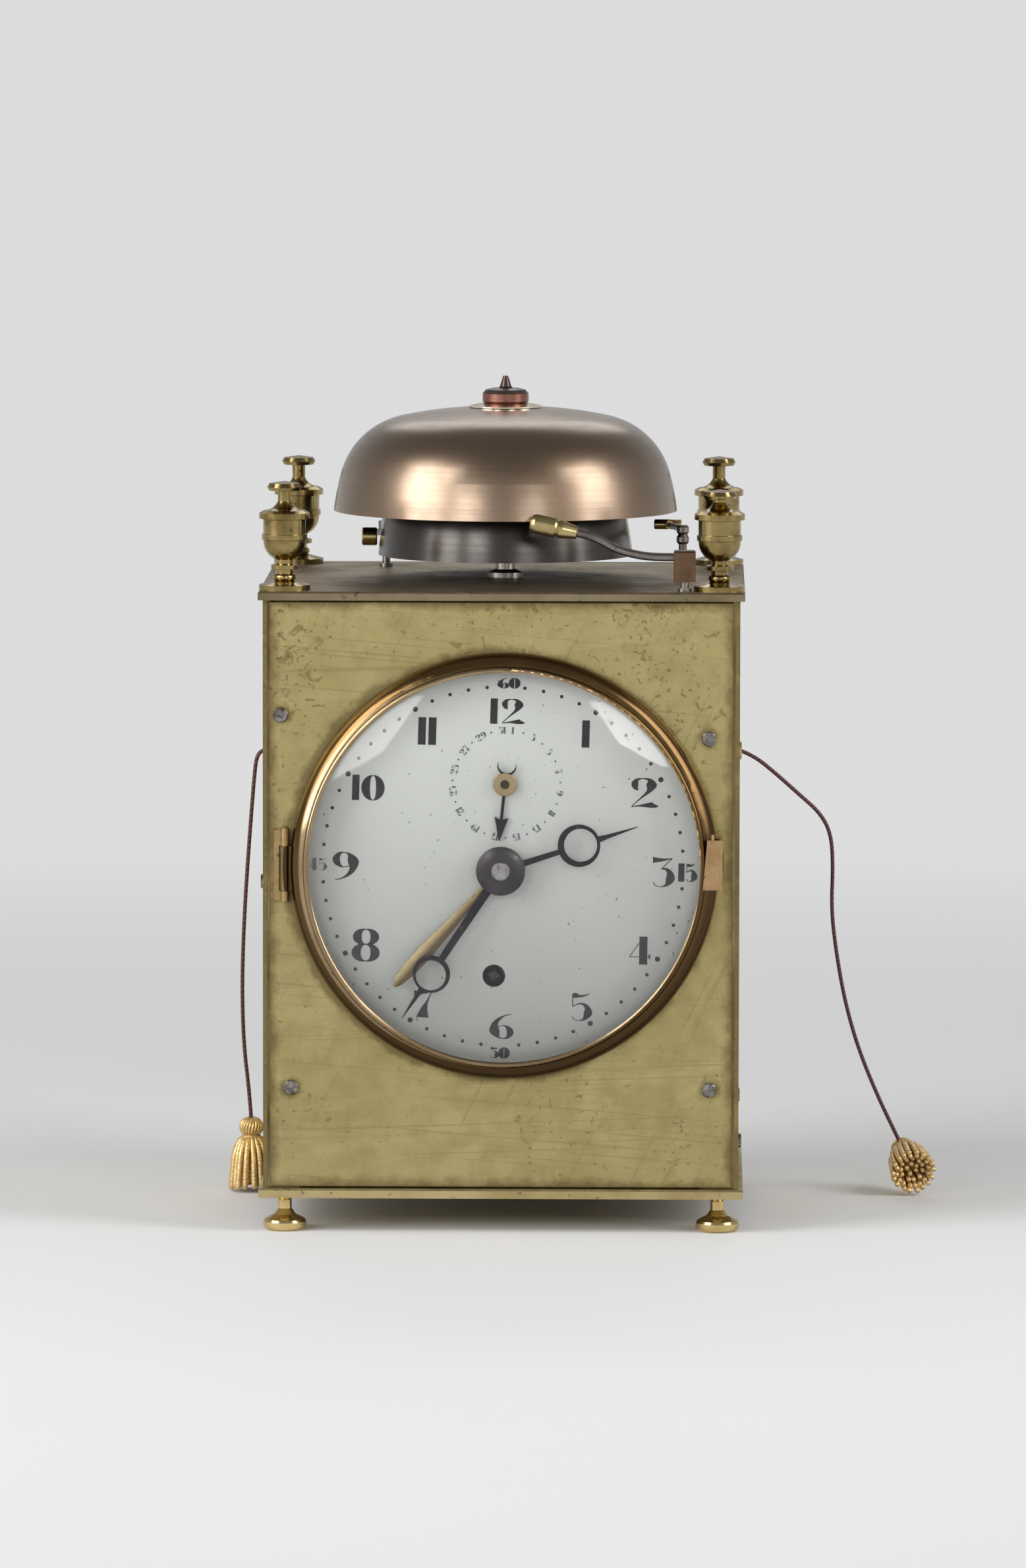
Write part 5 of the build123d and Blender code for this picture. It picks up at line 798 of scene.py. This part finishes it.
# a figure is one unit high; a line's stations are place and stroke width, a loop's values are its
# middle, half width, half height and widest stroke, and a dot's are its middle and radius
BOLD, HAIR = 0.235, 0.024
glyphs = {
    "0": [("loop", 0.285, 0.5, 0.20, 0.487, BOLD)],
    "1": [
        ("line", (0.085, 0.0, BOLD), (0.095, 1.0, BOLD)),
        ("line", (-0.03, 0.012, HAIR), (0.21, 0.012, HAIR)),
    ],
    "2": [
        (
            "line", (0.28, 0.985, HAIR), (0.15, 0.93, 0.09), (0.105, 0.80, 0.155), (0.13, 0.65, 0.10),
            (0.19, 0.59, HAIR),
        ),
        (
            "line", (0.28, 0.985, HAIR), (0.43, 0.93, 0.10), (0.475, 0.76, BOLD), (0.42, 0.56, 0.11),
            (0.24, 0.32, 0.04), (0.05, 0.06, HAIR),
        ),
        (
            "line", (0.03, 0.03, HAIR), (0.22, 0.07, 0.06), (0.42, 0.09, 0.16), (0.53, 0.10, 0.19),
            (0.555, 0.12, 0.22),
        ),
    ],
    "3": [
        (
            "line", (0.03, 0.90, 0.22), (0.07, 0.90, 0.18), (0.24, 0.90, 0.11), (0.42, 0.925, 0.05),
            (0.54, 0.95, HAIR),
        ),
        ("line", (0.53, 0.94, HAIR), (0.38, 0.76, HAIR), (0.26, 0.60, HAIR)),
        (
            "line", (0.24, 0.60, HAIR), (0.38, 0.60, 0.08), (0.48, 0.47, 0.16), (0.49, 0.27, BOLD),
            (0.40, 0.08, 0.10), (0.25, 0.014, HAIR), (0.10, 0.06, HAIR), (0.05, 0.17, HAIR),
        ),
    ],
    "4": [
        ("line", (0.40, 0.0, BOLD), (0.40, 0.99, BOLD)),
        ("line", (0.42, 0.985, HAIR), (0.20, 0.62, HAIR), (0.0, 0.27, HAIR)),
        ("line", (0.0, 0.27, HAIR), (0.56, 0.27, HAIR)),
        ("line", (0.58, 0.20, 0.05), (0.58, 0.36, 0.05)),
        ("line", (0.27, 0.012, HAIR), (0.53, 0.012, HAIR)),
    ],
    "5": [
        ("dot", 0.12, 0.90, 0.095),
        ("line", (0.10, 0.90, 0.10), (0.26, 0.88, 0.09), (0.40, 0.91, 0.05), (0.52, 0.97, HAIR)),
        ("line", (0.05, 0.93, HAIR), (0.05, 0.50, HAIR)),
        (
            "line", (0.05, 0.50, HAIR), (0.20, 0.60, 0.04), (0.36, 0.59, 0.08), (0.47, 0.45, 0.16),
            (0.48, 0.26, BOLD), (0.38, 0.07, 0.10), (0.23, 0.014, HAIR), (0.09, 0.06, HAIR),
            (0.05, 0.16, HAIR),
        ),
    ],
    "6": [
        (
            "line", (0.50, 0.985, HAIR), (0.36, 0.93, 0.04), (0.22, 0.79, 0.09), (0.125, 0.57, 0.15),
            (0.125, 0.30, BOLD), (0.20, 0.09, 0.09), (0.31, 0.014, HAIR),
        ),
        (
            "line", (0.31, 0.014, HAIR), (0.42, 0.06, 0.09), (0.485, 0.24, 0.155), (0.45, 0.42, 0.13),
            (0.35, 0.53, 0.04), (0.23, 0.50, HAIR), (0.15, 0.40, HAIR),
        ),
    ],
    "7": [
        (
            "line", (0.03, 0.90, 0.20), (0.09, 0.90, 0.16), (0.28, 0.91, 0.10), (0.44, 0.93, 0.05),
            (0.56, 0.97, HAIR),
        ),
        (
            "line", (0.545, 0.96, HAIR), (0.42, 0.62, 0.06), (0.33, 0.34, 0.18), (0.29, 0.12, 0.30),
            (0.28, 0.0, 0.37),
        ),
    ],
    "8": [("loop", 0.29, 0.755, 0.19, 0.232, 0.19), ("loop", 0.285, 0.27, 0.205, 0.257, 0.20)],
}
glyph_width = dict(zip("0123456789", (0.57, 0.18, 0.57, 0.575, 0.60, 0.565, 0.56, 0.56, 0.57, 0.56)))
glyph_stretch = dict(zip("0123456789", (1.45, 1.2, 1.5, 1.25, 1.2, 1.25, 1.7, 1.25, 1.4, 1.65)))


def ribbon(line, closed=False):
    """Corners and faces of a flat ribbon of varying width."""
    corners, faces = [], []
    count = len(line)
    for index, (x, y, width) in enumerate(line):
        before = line[(index - 1) % count] if closed else line[max(index - 1, 0)]
        after = line[(index + 1) % count] if closed else line[min(index + 1, count - 1)]
        dx, dy = after[0] - before[0], after[1] - before[1]
        length = math.hypot(dx, dy) or 1.0
        across = (-dy / length * width / 2, dx / length * width / 2)
        corners += [(x + across[0], y + across[1]), (x - across[0], y - across[1])]
    for index in range(count if closed else count - 1):
        following = (index + 1) % count
        faces.append((2 * index, 2 * index + 1, 2 * following + 1, 2 * following))
    return corners, faces


def ring_of(x, y, half_width, half_height, sides):
    """Corners of an ellipse."""
    turns = [2 * math.pi * step / sides for step in range(sides)]
    return [(x + half_width * math.cos(turn), y + half_height * math.sin(turn)) for turn in turns]


def glyph_shapes(character, steps, weight):
    """Flat shapes of one figure, one unit high with its foot at nought, with strokes of a chosen weight."""
    if character == "9":
        width = glyph_width["9"]
        return [
            ([(width - x, 1.0 - y) for x, y in corners], faces)
            for corners, faces in glyph_shapes("6", steps, weight)
        ]
    shapes = []
    for kind, *values in glyphs[character]:
        if kind == "line":
            line = [(x, y, width * weight) for x, y, width in smooth_line(values, steps)]
            shapes.append(ribbon(line))
        elif kind == "dot":
            x, y, radius = values
            shapes.append((ring_of(x, y, radius, radius, 12), [tuple(range(12))]))
        else:
            x, y, half_width, half_height, bold = values
            sides = 8 * steps
            line = []
            for step, (u, v) in enumerate(ring_of(x, y, half_width, half_height, sides)):
                swell = abs(math.cos(2 * math.pi * step / sides)) ** 1.25
                line.append((u, v, weight * (HAIR + (bold - HAIR) * swell)))
            shapes.append(ribbon(line, closed=True))
    return shapes


class Lettering:
    """Flat shapes laid on the curved face of the dial, gathered into one mesh."""

    def __init__(self):
        self.corners, self.faces = [], []

    def paint(self, corners, faces):
        """Add flat shapes given in millimetres from the dial's centre."""
        first = len(self.corners)
        for u, v in corners:
            x = u * math.cos(DIAL_TURN) - v * math.sin(DIAL_TURN)
            z = u * math.sin(DIAL_TURN) + v * math.cos(DIAL_TURN)
            fall = DIAL_SPHERE - math.sqrt(DIAL_SPHERE**2 - x * x - z * z)
            y = DIAL_EDGE_Y - DIAL_CROWN + fall - PAINT_LIFT
            self.corners.append(Vector((x + HAND_CENTRE[0], y, z + HAND_CENTRE[1])) * MM)
        for face in faces:
            self.faces.append(tuple(first + corner for corner in face))

    def number(self, text, u, v, height, turn=0.0, squeeze=1.0, weight=1.0, steps=6, gap=0.16):
        """Figures centred at a place on the dial, turned clockwise by an angle in radians."""
        widths = [glyph_width[character] * glyph_stretch[character] * squeeze for character in text]
        start = -(sum(widths) + gap * (len(text) - 1)) / 2
        for character, width in zip(text, widths):
            stretch = glyph_stretch[character] * squeeze
            for corners, faces in glyph_shapes(character, steps, weight):
                placed = []
                for x, y in corners:
                    along, up = (start + x * stretch) * height, (y - 0.5) * height
                    placed.append((
                        u + along * math.cos(turn) + up * math.sin(turn),
                        v - along * math.sin(turn) + up * math.cos(turn),
                    ))
                self.paint(placed, faces)
            start += width + gap

    def dot(self, u, v, radius, sides=10):
        """A round dot."""
        self.paint(ring_of(u, v, radius, radius, sides), [tuple(range(sides))])

    def finish(self, name, material):
        """The gathered shapes as a piece on the case."""
        piece = mesh_object(name, self.corners, self.faces, material, smooth=False)
        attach(piece, "case")


HOUR_U, HOUR_V, HOUR_CIRCLE = 0.85, 0.05, 43.2
hour_heights = (7.4, 8.2, 8.3, 7.8, 7.8, 7.0, 7.5, 9.0, 7.8, 6.9, 7.5, 6.9)
MINUTE_U, MINUTE_V, MINUTE_CIRCLE = 0.5, 0.7, 49.2
MINUTE_DOT, FIFTH_MINUTE_DOT = 0.50, 0.74
# place, height, width and weight of the numbers at the quarters
dark_quarters = {
    "15": (50.9, 0.0, 5.0, 0.75, 1.6),
    "30": (0.4, -50.5, 3.0, 0.95, 1.5),
    "60": (1.2, 50.9, 2.8, 1.05, 1.5),
}
faint_quarters = {"45": (-50.0, 0.4, 3.4, 0.85, 1.3)}
DATE_U, DATE_V, DATE_CIRCLE = 1.1, 23.4, 14.7
DATE_HEIGHT, DATE_DOT, DAYS = 1.9, 0.28, 31

bold_figures = Lettering()
for hour, height in enumerate(hour_heights, 1):
    turn = math.radians(30.0 * hour)
    u, v = HOUR_U + HOUR_CIRCLE * math.sin(turn), HOUR_V + HOUR_CIRCLE * math.cos(turn)
    bold_figures.number(str(hour), u, v, height)
for minute in range(60):
    turn = math.radians(6.0 * minute)
    if minute % 15:
        u, v = MINUTE_U + MINUTE_CIRCLE * math.sin(turn), MINUTE_V + MINUTE_CIRCLE * math.cos(turn)
        bold_figures.dot(u, v, MINUTE_DOT if minute % 5 else FIFTH_MINUTE_DOT)
for text, (u, v, height, squeeze, weight) in dark_quarters.items():
    bold_figures.number(text, u, v, height, squeeze=squeeze, weight=weight, steps=4)
black_enamel = enamel_paint("enamel_black", colour(0.004, 0.004, 0.005), colour(0.016, 0.016, 0.018))
bold_figures.finish("dial_figures", black_enamel)

faint_figures = Lettering()
for text, (u, v, height, squeeze, weight) in faint_quarters.items():
    faint_figures.number(text, u, v, height, squeeze=squeeze, weight=weight, steps=4)
for day in range(1, DAYS + 1):
    turn = math.radians(360.0 * (day - 0.5) / DAYS)
    u, v = DATE_U + DATE_CIRCLE * math.sin(turn), DATE_V + DATE_CIRCLE * math.cos(turn)
    if day % 2:
        faint_figures.number(str(day), u, v, DATE_HEIGHT, turn=turn, squeeze=0.8, weight=1.3, steps=3)
    else:
        faint_figures.dot(u, v, DATE_DOT, 8)
grey_enamel = enamel_paint("enamel_grey", colour(0.06, 0.06, 0.065), colour(0.19, 0.19, 0.19))
faint_figures.finish("date_figures", grey_enamel)

# ---- floor and light -----------------------------------------------------------------------------------
PALE = 0.72
PALE_NEAR, PALE_FAR = 0.30, 0.95  # metres from the middle, between which the floor turns evenly pale


def floor_paper():
    """Pale matt paper that keeps the clock's shadow, and is evenly pale to the eye further off."""
    graph = Graph("floor_paper")
    clouds = graph.range(graph.noise(3.0), 0.3, 0.7)
    base = graph.mix(clouds, colour(0.735, 0.735, 0.74), colour(0.755, 0.755, 0.76))
    paper = principled(graph, base, 0.0, 0.85, graph.bump(graph.noise(900.0, 2.0, 0.5), 0.00005, 0.2))
    even = graph.node("Emission", {"Color": colour(PALE, PALE, PALE * 1.005)}).outputs[0]
    path = graph.node("LightPath").outputs
    seen = graph.math("MAXIMUM", path["Is Camera Ray"], path["Is Glossy Ray"])
    seen = graph.math("MAXIMUM", seen, path["Is Transmission Ray"])
    away, _ = graph.round_axis((0.0, 0.0, 0.0), 2)
    share = graph.math("MULTIPLY", seen, graph.range(away, PALE_NEAR, PALE_FAR))
    return graph.surface(graph.node("MixShader", {0: share, 1: paper, 2: even}).outputs[0])


FLOOR_HALF = 60.0  # metres
floor_corners = [(x * FLOOR_HALF, y * FLOOR_HALF, 0) for x, y in ((-1, -1), (1, -1), (1, 1), (-1, 1))]
floor = mesh_object("floor", floor_corners, [(0, 1, 2, 3)], floor_paper(), smooth=False)


HORIZON, CEILING, CEILING_HEIGHT = 0.54, 0.20, 0.75


def studio_world():
    """A plain studio: pale all round, darker towards the ceiling."""
    world = bpy.data.worlds.new("studio")
    world.use_nodes = True
    tree = world.node_tree
    way = tree.nodes.new("ShaderNodeTexCoord")
    split = tree.nodes.new("ShaderNodeSeparateXYZ")
    height = tree.nodes.new("ShaderNodeMapRange")
    tree.links.new(way.outputs["Generated"], split.inputs[0])
    tree.links.new(split.outputs[2], height.inputs[0])
    for socket, value in zip(height.inputs[1:5], (0.0, CEILING_HEIGHT, HORIZON, CEILING)):
        socket.default_value = value
    background = tree.nodes["Background"]
    background.inputs["Color"].default_value = (0.99, 0.995, 1.0, 1.0)
    tree.links.new(height.outputs[0], background.inputs["Strength"])
    return world


scene.world = studio_world()


LIGHT_TARGET = Vector((0.0, 0.0, 0.12))


def softbox(name, azimuth, elevation, distance, width, height, power):
    """A rectangular soft light aimed at the clock; azimuth runs from the front towards +X, in degrees."""
    data = bpy.data.lights.new(name, "AREA")
    data.shape = "RECTANGLE"
    data.size, data.size_y = width, height
    data.energy = power
    light = bpy.data.objects.new(name, data)
    scene.collection.objects.link(light)
    a, e = math.radians(azimuth), math.radians(elevation)
    way = Vector((math.sin(a) * math.cos(e), -math.cos(a) * math.cos(e), math.sin(e)))
    light.location = LIGHT_TARGET + distance * way
    light.rotation_mode = "QUATERNION"
    light.rotation_quaternion = (LIGHT_TARGET - light.location).to_track_quat("-Z", "Y")


softbox("left_softbox", -59.0, 25.0, 1.5, 0.82, 1.20, 19.5)
softbox("right_softbox", 66.0, 26.0, 1.5, 0.64, 1.10, 13.5)
softbox("left_window", -25.0, 16.0, 1.6, 0.46, 0.42, 3.6)
softbox("right_window", 21.0, 16.0, 1.6, 0.36, 0.32, 2.8)
softbox("back_softbox", 180.0, 40.0, 1.8, 1.2, 0.8, 4.0)
